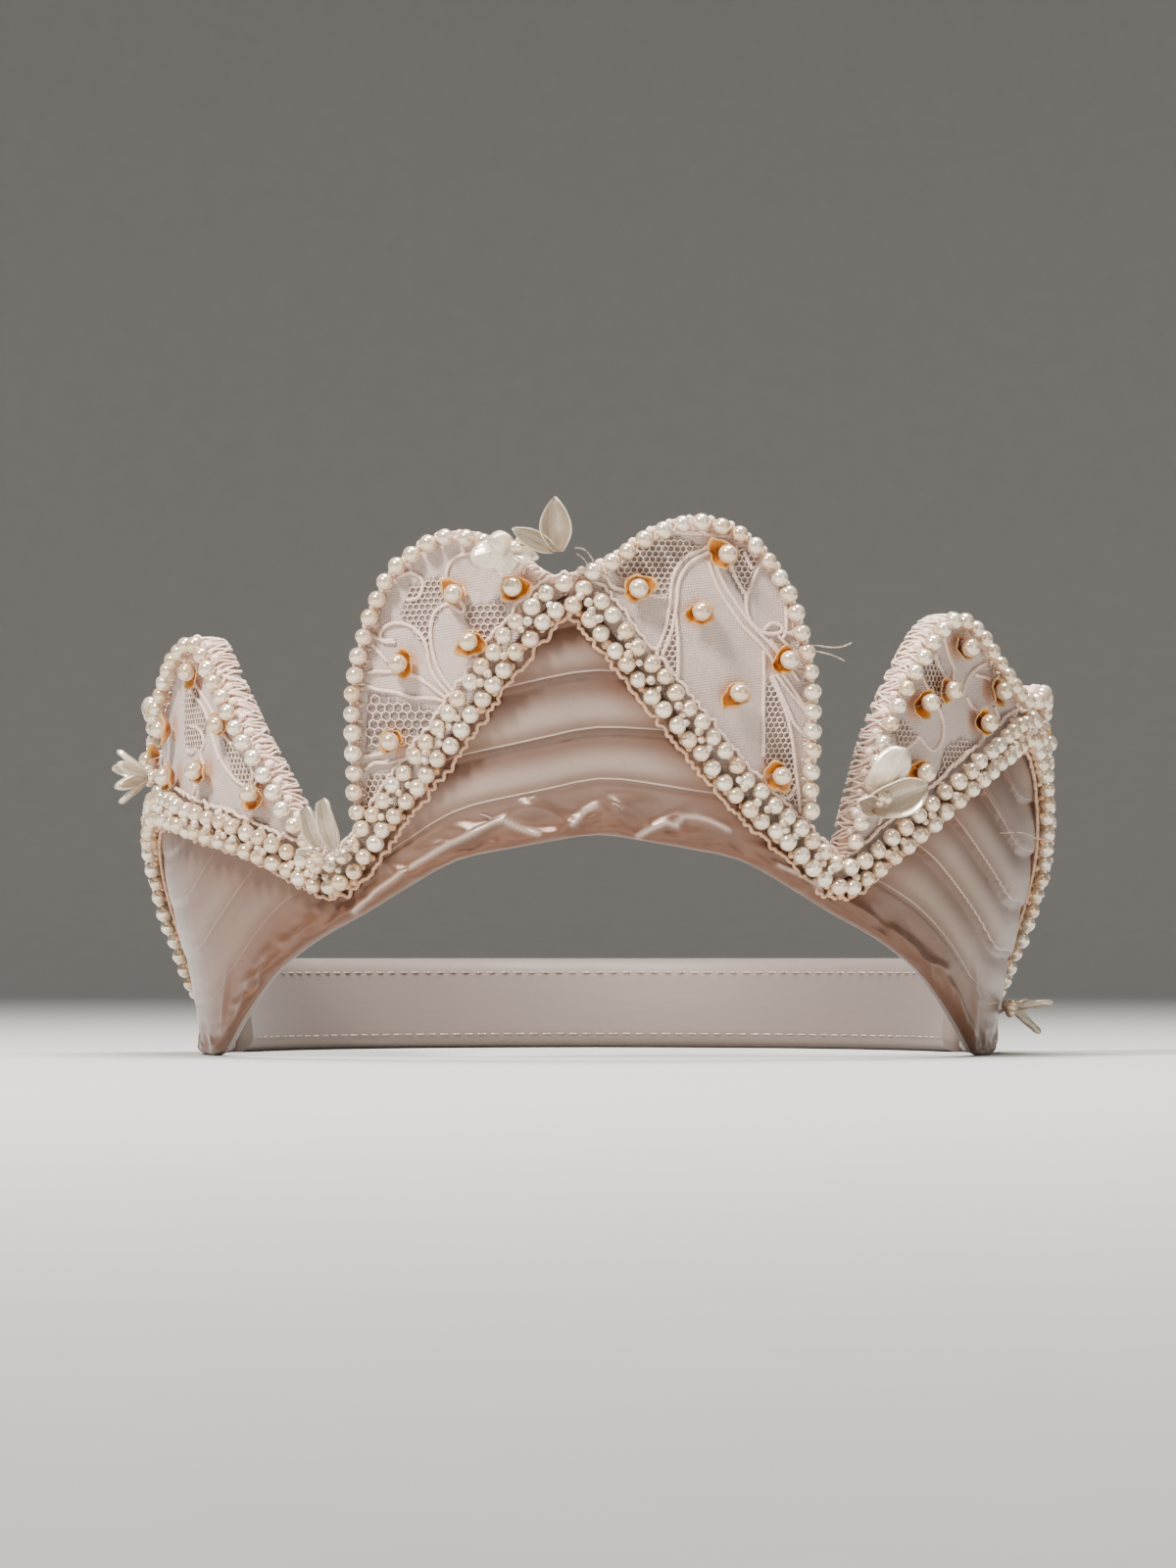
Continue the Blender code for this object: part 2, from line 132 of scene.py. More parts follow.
FOOT_LINE = (
    (0.0, 1.00), (20.0, 0.89), (35.0, 0.64), (43.0, 0.54), (52.0, 0.40), (61.0, 0.20), (70.0, 0.00),
)
CORNER_ANGLES = (-104.0, -76.0, -38.5, -3.0, 34.5, 71.4, 104.0)
JOINT_LINE = (
    (-104.0, 0.120), (-94.0, 0.260), (-86.0, 0.420), (-76.0, 0.482), (-58.0, 0.436), (-47.0, 0.386),
    (-38.5, 0.335), (-28.8, 0.456), (-18.1, 0.623), (-8.4, 0.800), (-3.0, 0.868), (1.0, 0.795),
    (11.1, 0.622), (20.0, 0.487), (29.1, 0.388), (34.5, 0.330), (42.3, 0.404), (55.3, 0.545),
    (66.3, 0.618), (71.4, 0.632), (80.0, 0.565), (87.0, 0.430), (94.0, 0.275), (104.0, 0.120),
)
WIDE_OUTLINE = (
    (0.00, 0.03), (0.13, 0.12), (0.155, 0.28), (0.17, 0.42), (0.20, 0.60), (0.27, 0.78),
    (0.34, 0.885), (0.45, 0.965), (0.57, 1.00), (0.70, 0.985), (0.81, 0.93), (0.90, 0.87), (1.00, 0.84),
)
SIDE_LEFT_OUTLINE = (
    (0.00, 0.03), (0.06, 0.17), (0.13, 0.26), (0.20, 0.45), (0.34, 0.68), (0.45, 0.83),
    (0.54, 0.96), (0.61, 1.00), (0.70, 0.97), (0.82, 0.92), (0.93, 0.81), (1.00, 0.74),
)
SIDE_RIGHT_OUTLINE = (
    (0.00, 0.03), (0.03, 0.22), (0.05, 0.42), (0.08, 0.575), (0.135, 0.695), (0.205, 0.81),
    (0.31, 0.95), (0.40, 1.00), (0.50, 0.99), (0.63, 0.905), (0.76, 0.79), (0.88, 0.73), (1.00, 0.70),
)
END_OUTLINE = (
    (0.00, 0.03), (0.10, 0.35), (0.17, 0.60), (0.26, 0.80), (0.40, 0.93), (0.55, 1.00),
    (0.70, 0.995), (0.85, 0.97), (1.00, 0.945),
)
# Lobes: valley corner, peak corner, top as a share of crown_height, outline, last share with pearls
LOBES = (
    (0, 1, 0.700, END_OUTLINE, 1.00),
    (2, 1, 0.803, SIDE_LEFT_OUTLINE, 1.00),
    (2, 3, 0.975, WIDE_OUTLINE, 0.70),
    (4, 3, 1.000, WIDE_OUTLINE, 0.97),
    (4, 5, 0.837, SIDE_RIGHT_OUTLINE, 1.00),
    (6, 5, 0.722, END_OUTLINE, 1.00),
)

# The photograph's scale at the crown's front, for details that are placed by its pixels
photo_middle_x = 597.0
photo_base_y = 562.0
photo_pixels_per_metre = 3200.0
photo_camera_distance = 0.900
photo_camera_height = 0.012
view_width = 0.186

# Enlargements of the photograph: left edge, upper edge, scale
ENLARGED = {"wide": (460.0, 275.0, 6.03), "left": (340.0, 330.0, 10.45), "right": (710.0, 320.0, 10.45)}

# Raised lace cords: lobe, enlargement, points of the cord there
CORDS = (
    (2, "wide", ((398, 618), (345, 560), (315, 500), (300, 430), (308, 355), (350, 322), (395, 345),
                 (402, 325), (360, 275), (350, 225), (375, 180), (430, 165), (490, 185), (528, 240))),
    (2, "wide", ((385, 625), (330, 570), (300, 520), (285, 450), (262, 410), (225, 385), (180, 382),
                 (148, 405), (150, 435), (190, 440))),
    (2, "wide", ((345, 610), (300, 575), (255, 545), (205, 532), (150, 530), (108, 532))),
    (2, "wide", ((375, 640), (320, 615), (250, 610), (190, 595), (130, 585), (104, 575))),
    (2, "wide", ((114, 412), (150, 433), (188, 432))),
    (2, "wide", ((122, 448), (148, 480), (166, 500))),
    (2, "wide", ((98, 792), (140, 786), (182, 768))),
    (2, "wide", ((100, 832), (130, 812), (180, 810), (250, 782))),
    (2, "wide", ((112, 980), (150, 925), (200, 878))),
    (2, "wide", ((572, 318), (580, 345), (588, 378))),
    (2, "wide", ((200, 240), (240, 225), (275, 250), (262, 300), (225, 310))),
    (3, "wide", ((1003, 482), (1035, 400), (1050, 320), (1060, 240), (1095, 180), (1165, 145))),
    (3, "wide", ((1022, 488), (1054, 410), (1072, 320), (1080, 250), (1112, 195), (1172, 160))),
    (3, "wide", ((1075, 560), (1077, 450), (1068, 350))),
    (3, "wide", ((1172, 190), (1198, 260), (1238, 330), (1290, 400), (1340, 450), (1390, 520),
                 (1432, 580), (1474, 650))),
    (3, "wide", ((1188, 180), (1216, 250), (1258, 318), (1308, 385), (1360, 440), (1412, 505),
                 (1452, 560))),
    (3, "wide", ((1342, 180), (1312, 240), (1290, 310), (1302, 370), (1342, 408), (1388, 412),
                 (1400, 392), (1368, 380), (1345, 402))),
    (3, "wide", ((1412, 330), (1412, 400), (1400, 430))),
    (3, "wide", ((1345, 465), (1346, 560), (1344, 660), (1345, 790))),
    (3, "wide", ((1365, 545), (1392, 600), (1415, 660), (1432, 740), (1442, 830), (1450, 900),
                 (1456, 965))),
    (3, "wide", ((1372, 540), (1408, 620), (1438, 690), (1470, 728))),
    (3, "wide", ((1384, 540), (1430, 600), (1472, 652))),
    (3, "wide", ((1364, 430), (1400, 480), (1442, 522))),
    (3, "wide", ((1388, 420), (1430, 462), (1472, 500))),
    (3, "wide", ((1400, 404), (1440, 420), (1478, 442))),
    (3, "wide", ((1062, 98), (1150, 104), (1250, 114))),
    (3, "wide", ((1240, 196), (1262, 250), (1292, 292))),
    (3, "wide", ((1280, 160), (1306, 212))),
    (3, "wide", ((760, 240), (800, 216), (850, 240), (870, 268), (930, 282), (1040, 300))),
    (3, "wide", ((1380, 910), (1420, 920), (1442, 880))),
    (1, "left", ((470, 640), (520, 660), (546, 720), (530, 790), (545, 850))),
    (1, "left", ((455, 770), (480, 785), (500, 765))),
    (1, "left", ((618, 780), (660, 860), (720, 930), (785, 962), (815, 905), (800, 840))),
    (1, "left", ((630, 1072), (690, 1090), (700, 1150), (735, 1185))),
    (1, "left", ((452, 430), (540, 540), (585, 680), (630, 820))),
    (1, "left", ((492, 400), (590, 560), (640, 660), (700, 740))),
    (1, "left", ((470, 900), (500, 960), (480, 1040), (520, 1080))),
    (1, "left", ((760, 1010), (820, 960), (870, 880))),
    (4, "right", ((560, 470), (620, 560), (672, 660), (696, 740), (682, 830), (640, 875), (600, 850),
                  (562, 800))),
    (4, "right", ((395, 820), (450, 875), (520, 842), (560, 800))),
    (4, "right", ((690, 270), (722, 370), (752, 440), (745, 500), (762, 570), (800, 570), (822, 500),
                  (860, 450), (912, 410))),
    (4, "right", ((640, 360), (690, 460), (745, 545))),
    (4, "right", ((820, 590), (850, 642), (905, 672))),
    (4, "right", ((860, 470), (930, 490), (962, 522))),
    (4, "right", ((968, 640), (992, 704), (1000, 760))),
    (4, "right", ((600, 950), (572, 1010), (580, 1080))),
    (4, "right", ((430, 1120), (380, 1180), (340, 1270))),
    (4, "right", ((820, 880), (740, 960), (650, 1050), (560, 1110))),
)
# Patches of open net: lobe, enlargement, corners, pitch of the net in metres
NET_PATCHES = (
    (3, "wide", ((868, 216), (960, 128), (1070, 108), (1152, 140), (1092, 190), (1060, 250),
                 (1042, 300), (930, 276)), 0.00100),
    (3, "wide", ((1003, 482), (1050, 330), (1075, 350), (1078, 560), (1040, 570)), 0.00095),
    (3, "wide", ((1346, 560), (1378, 560), (1432, 740), (1452, 950), (1380, 905), (1346, 800)), 0.00095),
    (3, "wide", ((1230, 130), (1340, 170), (1300, 250), (1290, 330), (1240, 240), (1200, 180)), 0.00100),
    (2, "wide", ((200, 350), (235, 265), (330, 228), (345, 322), (302, 400), (292, 470), (225, 385)),
     0.00105),
    (2, "wide", ((402, 330), (520, 300), (562, 390), (500, 470), (420, 410)), 0.00115),
    (2, "wide", ((104, 590), (352, 655), (330, 720), (250, 762), (96, 770)), 0.00150),
    (2, "wide", ((104, 850), (240, 830), (180, 900), (120, 980), (90, 960)), 0.00105),
    (1, "left", ((440, 430), (500, 420), (560, 620), (540, 760), (440, 740)), 0.00105),
    (1, "left", ((640, 700), (720, 760), (830, 880), (800, 1000), (700, 900)), 0.00105),
    (4, "right", ((560, 380), (660, 350), (740, 540), (680, 660), (620, 560)), 0.00100),
    (4, "right", ((390, 720), (480, 700), (560, 800), (450, 870)), 0.00105),
    (4, "right", ((700, 860), (800, 800), (880, 860), (650, 1060)), 0.00100),
)
# Which visible lobe lends its lace to one that the photograph doesn't show: hidden lobe, lender
LENT_LACE = ((0, 1), (5, 4))

# Folds of the satin along the hem: angle, height above the hem, length, slant in degrees
HEM_FOLDS = (
    (-15.0, 0.0040, 0.011, 24.0), (-7.0, 0.0050, 0.010, -22.0), (4.0, 0.0046, 0.006, -30.0),
    (9.5, 0.0040, 0.008, 26.0), (15.0, 0.0046, 0.010, -8.0), (-22.0, 0.0034, 0.008, 12.0),
    (24.0, 0.0036, 0.009, -14.0), (47.0, 0.0022, 0.007, -24.0), (54.0, 0.0024, 0.008, -10.0),
    (60.0, 0.0026, 0.006, -34.0), (-45.0, 0.0024, 0.009, 20.0), (-56.0, 0.0022, 0.008, 14.0),
    (-1.5, 0.0024, 0.008, 14.0), (-28.0, 0.0030, 0.010, -18.0), (31.0, 0.0030, 0.010, 20.0),
    (38.0, 0.0026, 0.009, -22.0), (66.0, 0.0070, 0.008, -62.0), (-65.0, 0.0060, 0.008, 58.0),
)

# Sharp pulled ridges and soft pillows of the hem, by the photograph's pixels; radii in metres
HEM_RIDGES = (
    ((500, 463), (512, 456), (521, 451), (532, 446), (543, 440), (548, 439), (557, 443), (566, 446)),
    ((618, 447), (623, 444), (632, 440), (637, 442), (640, 437), (647, 437), (654, 439), (664, 444)),
    ((690, 462), (700, 466), (712, 474)), ((470, 486), (484, 474), (496, 466)),
    ((584, 441), (590, 434), (596, 431)),
)
HEM_PILLOWS = (
    (560, 434, 0.0042, 0.0022), (612, 431, 0.0070, 0.0024), (528, 444, 0.0050, 0.0020),
    (650, 446, 0.0050, 0.0018),
)
# A brown spot on the hem, by the photograph's pixels
HEM_STAIN = (586, 440)
# Heights of the two sewn lines on the back band
BAND_SEAMS = (0.0026, 0.0139)

# Wax flowers: node, angle, share of crown_height, rows of pearls below, and petals as sideways, up,
# turn, lift, length, width, form and tone, from polished white at 0 to yellowed at 1
FLOWERS = (
    ("wax_flower_left_peak", -82.0, 0.545, 0, (
        (0.0, 0.0, 0.0, 45.0, 0.0072, 0.0028, "slender", 0.55),
        (0.0, 0.0, 55.0, 50.0, 0.0070, 0.0026, "slender", 0.6),
        (0.0, 0.0, 115.0, 50.0, 0.0068, 0.0026, "slender", 0.7),
        (0.0, 0.0, 175.0, 42.0, 0.0070, 0.0028, "slender", 0.6),
        (0.0, 0.0, 240.0, 52.0, 0.0070, 0.0026, "slender", 0.5),
        (0.0, 0.0, 300.0, 55.0, 0.0072, 0.0028, "slender", 0.5))),
    ("wax_flower_top", -9.6, 0.938, 1, (
        (0.0002, -0.0004, -100.0, 8.0, 0.0074, 0.0050, "shell", 0.0),
        (-0.0006, 0.0002, -148.0, 4.0, 0.0046, 0.0050, "shell", 0.15),
        (-0.0012, -0.0016, -30.0, 22.0, 0.0044, 0.0046, "knob", 0.0),
        (0.0000, -0.0010, 100.0, 16.0, 0.0046, 0.0028, "leaf", 0.1),
        (0.0072, -0.0008, -2.0, 8.0, 0.0088, 0.0052, "leaf", 0.85),
        (0.0066, -0.0006, -62.0, 16.0, 0.0078, 0.0032, "leaf", 0.75))),
    ("wax_flower_left_valley", -37.8, 0.376, 1, (
        (0.0012, 0.0018, -5.0, 14.0, 0.0074, 0.0034, "loop", 0.6),
        (0.0042, 0.0016, 1.0, 12.0, 0.0088, 0.0036, "loop", 0.5),
        (0.0002, 0.0, -62.0, 24.0, 0.0036, 0.0026, "leaf", 0.4))),
    ("wax_leaf_right_valley", 36.4, 0.480, 1, (
        (-0.0004, 0.0016, 20.0, 12.0, 0.0084, 0.0068, "shell", 0.0),
        (-0.0018, -0.0006, 62.0, 16.0, 0.0100, 0.0066, "cup", 0.55),
        (-0.0008, -0.0008, -78.0, 18.0, 0.0054, 0.0036, "cup", 0.8))),
    ("wax_flower_right_end", 84.0, 0.095, 0, (
        (0.0, 0.0, 10.0, 68.0, 0.0074, 0.0030, "slender", 0.35),
        (0.0, 0.0, 165.0, 50.0, 0.0070, 0.0030, "slender", 0.35),
        (0.0, 0.0, 60.0, 50.0, 0.0042, 0.0026, "slender", 0.5))),
)
# Glassy beads sewn beside the flowers, by the photograph's pixels, with their radii
GLASS_BEADS = (
    (722, 431, 0.0009), (732, 436, 0.0010), (727, 447, 0.0010), (720, 453, 0.0009), (715, 440, 0.0008),
    (573, 303, 0.0011), (583, 307, 0.0010), (578, 300, 0.0009), (568, 309, 0.0009), (588, 311, 0.0007),
    (457, 452, 0.0011), (464, 456, 0.0009), (450, 455, 0.0008), (470, 452, 0.0010), (461, 462, 0.0009),
)


def smooth_step(share):
    share = min(1.0, max(0.0, share))
    return share * share * (3.0 - 2.0 * share)


def on_straight_table(table, position):
    for (start, first), (end, second) in zip(table, table[1:]):
        if position <= end:
            return first + (second - first) * (position - start) / (end - start)
    return table[-1][1]


def on_smooth_table(table, position):
    index = 0
    while index < len(table) - 2 and position > table[index + 1][0]:
        index += 1

    def slope(at):
        if at < 0 or at > len(table) - 2:
            return 0.0
        return (table[at + 1][1] - table[at][1]) / (table[at + 1][0] - table[at][0])

    def tangent(at):
        before, after = slope(at - 1), slope(at)
        return 0.0 if before * after <= 0.0 else 2.0 * before * after / (before + after)

    width = table[index + 1][0] - table[index][0]
    share = min(1.0, max(0.0, (position - table[index][0]) / width))
    rest = 1.0 - share
    return (table[index][1] * rest * rest * (1.0 + 2.0 * share)
            + table[index + 1][1] * share * share * (3.0 - 2.0 * share)
            + tangent(index) * width * share * rest * rest
            - tangent(index + 1) * width * share * share * rest)


def foot_height(angle):
    """The lower edge, rounded a little between the table's rows."""
    shares = [on_straight_table(FOOT_LINE, min(abs(angle + step), FOOT_LINE[-1][0]))
              for step in (-3.0, 0.0, 3.0)]
    return arch_height * (shares[0] + 2.0 * shares[1] + shares[2]) / 4.0


def joint_height(angle):
    steps = (-1.0, -0.5, 0.0, 0.5, 1.0)
    return crown_height * sum(
        on_smooth_table(JOINT_LINE, angle + step * joint_rounding) for step in steps) / len(steps)


def flare_at(angle, height):
    return flare_out * smooth_step((height - foot_height(angle)) / flare_height)


def ring_middle():
    """The ring's own axis in the frame, read from the back band, whose facets fall short of its curve."""
    low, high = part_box("satin_band_back")
    half_facet = math.radians((180.0 - CORNER_ANGLES[-1]) / back_band_facets)
    reach = (ring_back_depth + flare_at(180.0, back_band_height)) * math.cos(half_facet)
    return Vector(((low[0] + high[0]) / 2.0, high[1] - reach, 0.0))


MIDDLE = ring_middle()


def ring_point(angle, height, out=0.0):
    turn = math.radians(angle)
    flare = flare_at(angle, height)
    half_width = ring_half_width + flare
    depth = half_width if math.cos(turn) > 0.0 else ring_back_depth + flare
    place = Vector((half_width * math.sin(turn), -depth * math.cos(turn), height))
    away = Vector((math.sin(turn) / half_width, -math.cos(turn) / depth, 0.0)).normalized()
    return MIDDLE + place + away * out


def ring_axes(angle, height):
    side = (ring_point(angle + 0.5, height) - ring_point(angle - 0.5, height)).normalized()
    rise = (ring_point(angle, height + 0.001) - ring_point(angle, height - 0.001)).normalized()
    out = side.cross(rise).normalized()
    return side, out.cross(side).normalized(), out


def unrolled(angle, height):
    return Vector((math.radians(angle) * (ring_half_width + flare_out), height))


def rolled(flat):
    return math.degrees(flat.x / (ring_half_width + flare_out)), flat.y


def over_cloth(flat, out):
    """The point at a distance out from a place of the flat cloth."""
    return ring_point(*rolled(flat), out)


def nudge(dice, reach):
    """A small random move over the flat cloth."""
    return Vector((dice.uniform(-1, 1), dice.uniform(-1, 1))) * reach


def photo_place(across, down, out=0.001):
    """The angle and height on the crown that a pixel of the photograph shows."""
    seen_x = (across - photo_middle_x) / photo_pixels_per_metre
    seen_z = (photo_base_y - down) / photo_pixels_per_metre
    front = ring_half_width + flare_out
    angle, height = 0.0, seen_z
    for _ in range(24):
        radius = ring_half_width + flare_at(angle, height) + out
        behind = front - radius * math.cos(math.radians(angle))
        grow = 1.0 + behind / photo_camera_distance
        height = photo_camera_height + (seen_z - photo_camera_height) * grow
        angle = math.degrees(math.asin(max(-1.0, min(1.0, seen_x * grow / radius))))
    return angle, height


def from_enlargement(name, point):
    left, upper, scale = ENLARGED[name]
    return unrolled(*photo_place(left + point[0] / scale, upper + point[1] / scale))


def outline_points(lobe):
    """A lobe's outline on the flat cloth, from its valley to its peak."""
    valley, peak, top, outline, _ = LOBES[lobe]
    start, end = CORNER_ANGLES[valley], CORNER_ANGLES[peak]
    foot = joint_height(start)
    rise = crown_height * top - foot
    points = [unrolled(start + (end - start) * across, foot + rise * up) for across, up in outline]
    for _ in range(3):
        points = [points[0]] + [
            point
            for first, second in zip(points, points[1:])
            for point in (first.lerp(second, 0.25), first.lerp(second, 0.75))
        ] + [points[-1]]
    return points


def evenly(route, count):
    """A number of points at even distances along a flat or a solid route."""
    lengths = [0.0]
    for first, second in zip(route, route[1:]):
        lengths.append(lengths[-1] + (second - first).length)
    points, index = [], 0
    for step in range(count + 1):
        target = lengths[-1] * step / count
        while index < len(route) - 2 and lengths[index + 1] < target:
            index += 1
        part = (target - lengths[index]) / max(1e-9, lengths[index + 1] - lengths[index])
        points.append(route[index].lerp(route[index + 1], part))
    return points


def route_length(route):
    return sum((second - first).length for first, second in zip(route, route[1:]))


def shifted(points, distance):
    moved = []
    for index, point in enumerate(points):
        along = (points[min(index + 1, len(points) - 1)] - points[max(index - 1, 0)]).normalized()
        moved.append(point + Vector((-along.y, along.x)) * distance)
    return moved


def rounded_route(points, steps=5):
    """A smooth route through a few points."""
    route = []
    for index in range(len(points) - 1):
        before = points[max(index - 1, 0)]
        first, second = points[index], points[index + 1]
        after = points[min(index + 2, len(points) - 1)]
        for step in range(steps):
            t = step / steps
            route.append(0.5 * (2.0 * first + (second - before) * t
                                + (2.0 * before - 5.0 * first + 4.0 * second - after) * t * t
                                + (3.0 * first - before - 3.0 * second + after) * t * t * t))
    return route + [points[-1]]


def inside(polygon, point):
    """Whether a flat point lies in a polygon."""
    result = False
    previous = polygon[-1]
    for corner in polygon:
        if (corner.y > point.y) != (previous.y > point.y):
            cross = (previous.x - corner.x) * (point.y - corner.y) / (previous.y - corner.y) + corner.x
            if point.x < cross:
                result = not result
        previous = corner
    return result


def lobe_polygon(lobe):
    valley, peak = LOBES[lobe][:2]
    start, end = CORNER_ANGLES[valley], CORNER_ANGLES[peak]
    joint = [unrolled(end + (start - end) * step / 30.0, joint_height(end + (start - end) * step / 30.0))
             for step in range(31)]
    return outline_points(lobe) + joint


def lobe_shares(lobe, flat):
    """A flat place as shares of a lobe's width and rise."""
    valley, peak, top = LOBES[lobe][:3]
    start, end = CORNER_ANGLES[valley], CORNER_ANGLES[peak]
    foot = joint_height(start)
    angle, height = rolled(flat)
    return (angle - start) / (end - start), (height - foot) / (crown_height * top - foot)


def from_lobe_shares(lobe, shares):
    valley, peak, top = LOBES[lobe][:3]
    start, end = CORNER_ANGLES[valley], CORNER_ANGLES[peak]
    foot = joint_height(start)
    return unrolled(start + (end - start) * shares[0], foot + (crown_height * top - foot) * shares[1])


# Materials


def colour(hex_text):
    """A colour as painters write it, made linear."""
    channels = [int(hex_text[at:at + 2], 16) / 255.0 for at in (0, 2, 4)]
    return tuple(c / 12.92 if c <= 0.04045 else ((c + 0.055) / 1.055) ** 2.4 for c in channels)


class Tree:
    """A material's nodes, added and wired one line at a time."""

    def __init__(self, owner):
        self.nodes = owner.nodes
        self.links = owner.links

    def add(self, kind, values=None, **settings):
        node = self.nodes.new(kind)
        for name, value in settings.items():
            setattr(node, name, value)
        for name, value in (values or {}).items():
            self.put(value, node.inputs[name])
        return node

    def stored(self, name, kind="Fac"):
        """A value that the mesh keeps under this name."""
        return self.add("ShaderNodeAttribute", attribute_name=name).outputs[kind]

    def put(self, value, socket):
        """Links a value from another node, or sets a plain one."""
        if isinstance(value, bpy.types.NodeSocket):
            self.links.new(value, socket)
        else:
            socket.default_value = value

    def math(self, operation, first, second=0.0):
        return self.add("ShaderNodeMath", {0: first, 1: second}, operation=operation).outputs[0]

    def span(self, value, low, high, to_low=0.0, to_high=1.0):
        return self.add("ShaderNodeMapRange", {
            "Value": value, "From Min": low, "From Max": high, "To Min": to_low, "To Max": to_high,
        }, interpolation_type="SMOOTHSTEP").outputs["Result"]

    def mix(self, share, first, second, blend="MIX"):
        node = self.add("ShaderNodeMix", data_type="RGBA", blend_type=blend)
        self.put(share, node.inputs[0])
        for index, value in ((6, first), (7, second)):
            linked = isinstance(value, bpy.types.NodeSocket)
            self.put(value if linked else (*value, 1.0), node.inputs[index])
        return node.outputs[2]

    def noise(self, vector, scale, detail=3.0, roughness=0.55):
        return self.add("ShaderNodeTexNoise", {
            "Vector": vector, "Scale": scale, "Detail": detail, "Roughness": roughness,
        }).outputs["Fac"]


def value_group(name, inputs, outputs):
    """An empty group of values with its named inputs and outputs."""
    group = bpy.data.node_groups.new(name, "ShaderNodeTree")
    for label, kind in inputs:
        group.interface.new_socket(label, in_out="INPUT", socket_type=kind)
    for label, kind in outputs:
        group.interface.new_socket(label, in_out="OUTPUT", socket_type=kind)
    tree = Tree(group)
    return group, tree, tree.add("NodeGroupInput").outputs, tree.add("NodeGroupOutput").inputs


def weave_group():
    """Crossing threads: a height and a shade from a flat cloth place in metres."""
    group, tree, given, result = value_group(
        "crossing_threads",
        (("Place", "NodeSocketVector"), ("Threads per metre", "NodeSocketFloat"),
         ("Slant", "NodeSocketFloat")),
        (("Height", "NodeSocketFloat"), ("Shade", "NodeSocketFloat")))
    turned = tree.add("ShaderNodeVectorRotate", {"Vector": given["Place"], "Angle": given["Slant"]},
                      rotation_type="Z_AXIS").outputs[0]
    split = tree.add("ShaderNodeSeparateXYZ", {"Vector": turned}).outputs
    turns = tree.math("MULTIPLY", given["Threads per metre"], 2.0 * math.pi)
    warp = tree.math("SINE", tree.math("MULTIPLY", split["X"], turns))
    weft = tree.math("SINE", tree.math("MULTIPLY", split["Y"], turns))
    both = tree.math("MULTIPLY", warp, weft)
    uneven = tree.noise(turned, 900.0, 2.0)
    height = tree.math("ADD", tree.math("MULTIPLY", both, 0.5), uneven)
    tree.links.new(height, result["Height"])
    tree.links.new(tree.span(height, -0.1, 1.1), result["Shade"])
    return group


def age_group():
    """Blotches and small specks of age over the whole crown, as two masks."""
    group, tree, given, result = value_group(
        "age_blotches", (("Place", "NodeSocketVector"),),
        (("Blotch", "NodeSocketFloat"), ("Speck", "NodeSocketFloat")))
    broad = tree.noise(given["Place"], 55.0, 4.0, 0.6)
    fine = tree.noise(given["Place"], 620.0, 2.0, 0.7)
    tree.links.new(tree.span(broad, 0.42, 0.68), result["Blotch"])
    tree.links.new(tree.span(fine, 0.62, 0.78), result["Speck"])
    return group


def shared_group(name, maker):
    return bpy.data.node_groups.get(name) or maker()


def new_finish(name):
    material = bpy.data.materials.new(name)
    material.use_nodes = True
    tree = Tree(material.node_tree)
    shader = material.node_tree.nodes["Principled BSDF"]
    place = tree.add("ShaderNodeTexCoord").outputs["Object"]
    return material, tree, shader, place


def settle(tree, shader, base, roughness, height, strength, distance):
    """Wires a colour, a roughness and a bump into a shader."""
    tree.put(base, shader.inputs["Base Color"])
    tree.put(roughness, shader.inputs["Roughness"])
    bump = tree.add("ShaderNodeBump", {"Strength": strength, "Distance": distance, "Height": height})
    tree.links.new(bump.outputs["Normal"], shader.inputs["Normal"])


def keep_constant(shader, values):
    """Sets the shader's sockets that stay the same over a whole piece."""
    for name, value in values.items():
        shader.inputs[name].default_value = value


def use_group(tree, group, values):
    return tree.add("ShaderNodeGroup", values, node_tree=group).outputs


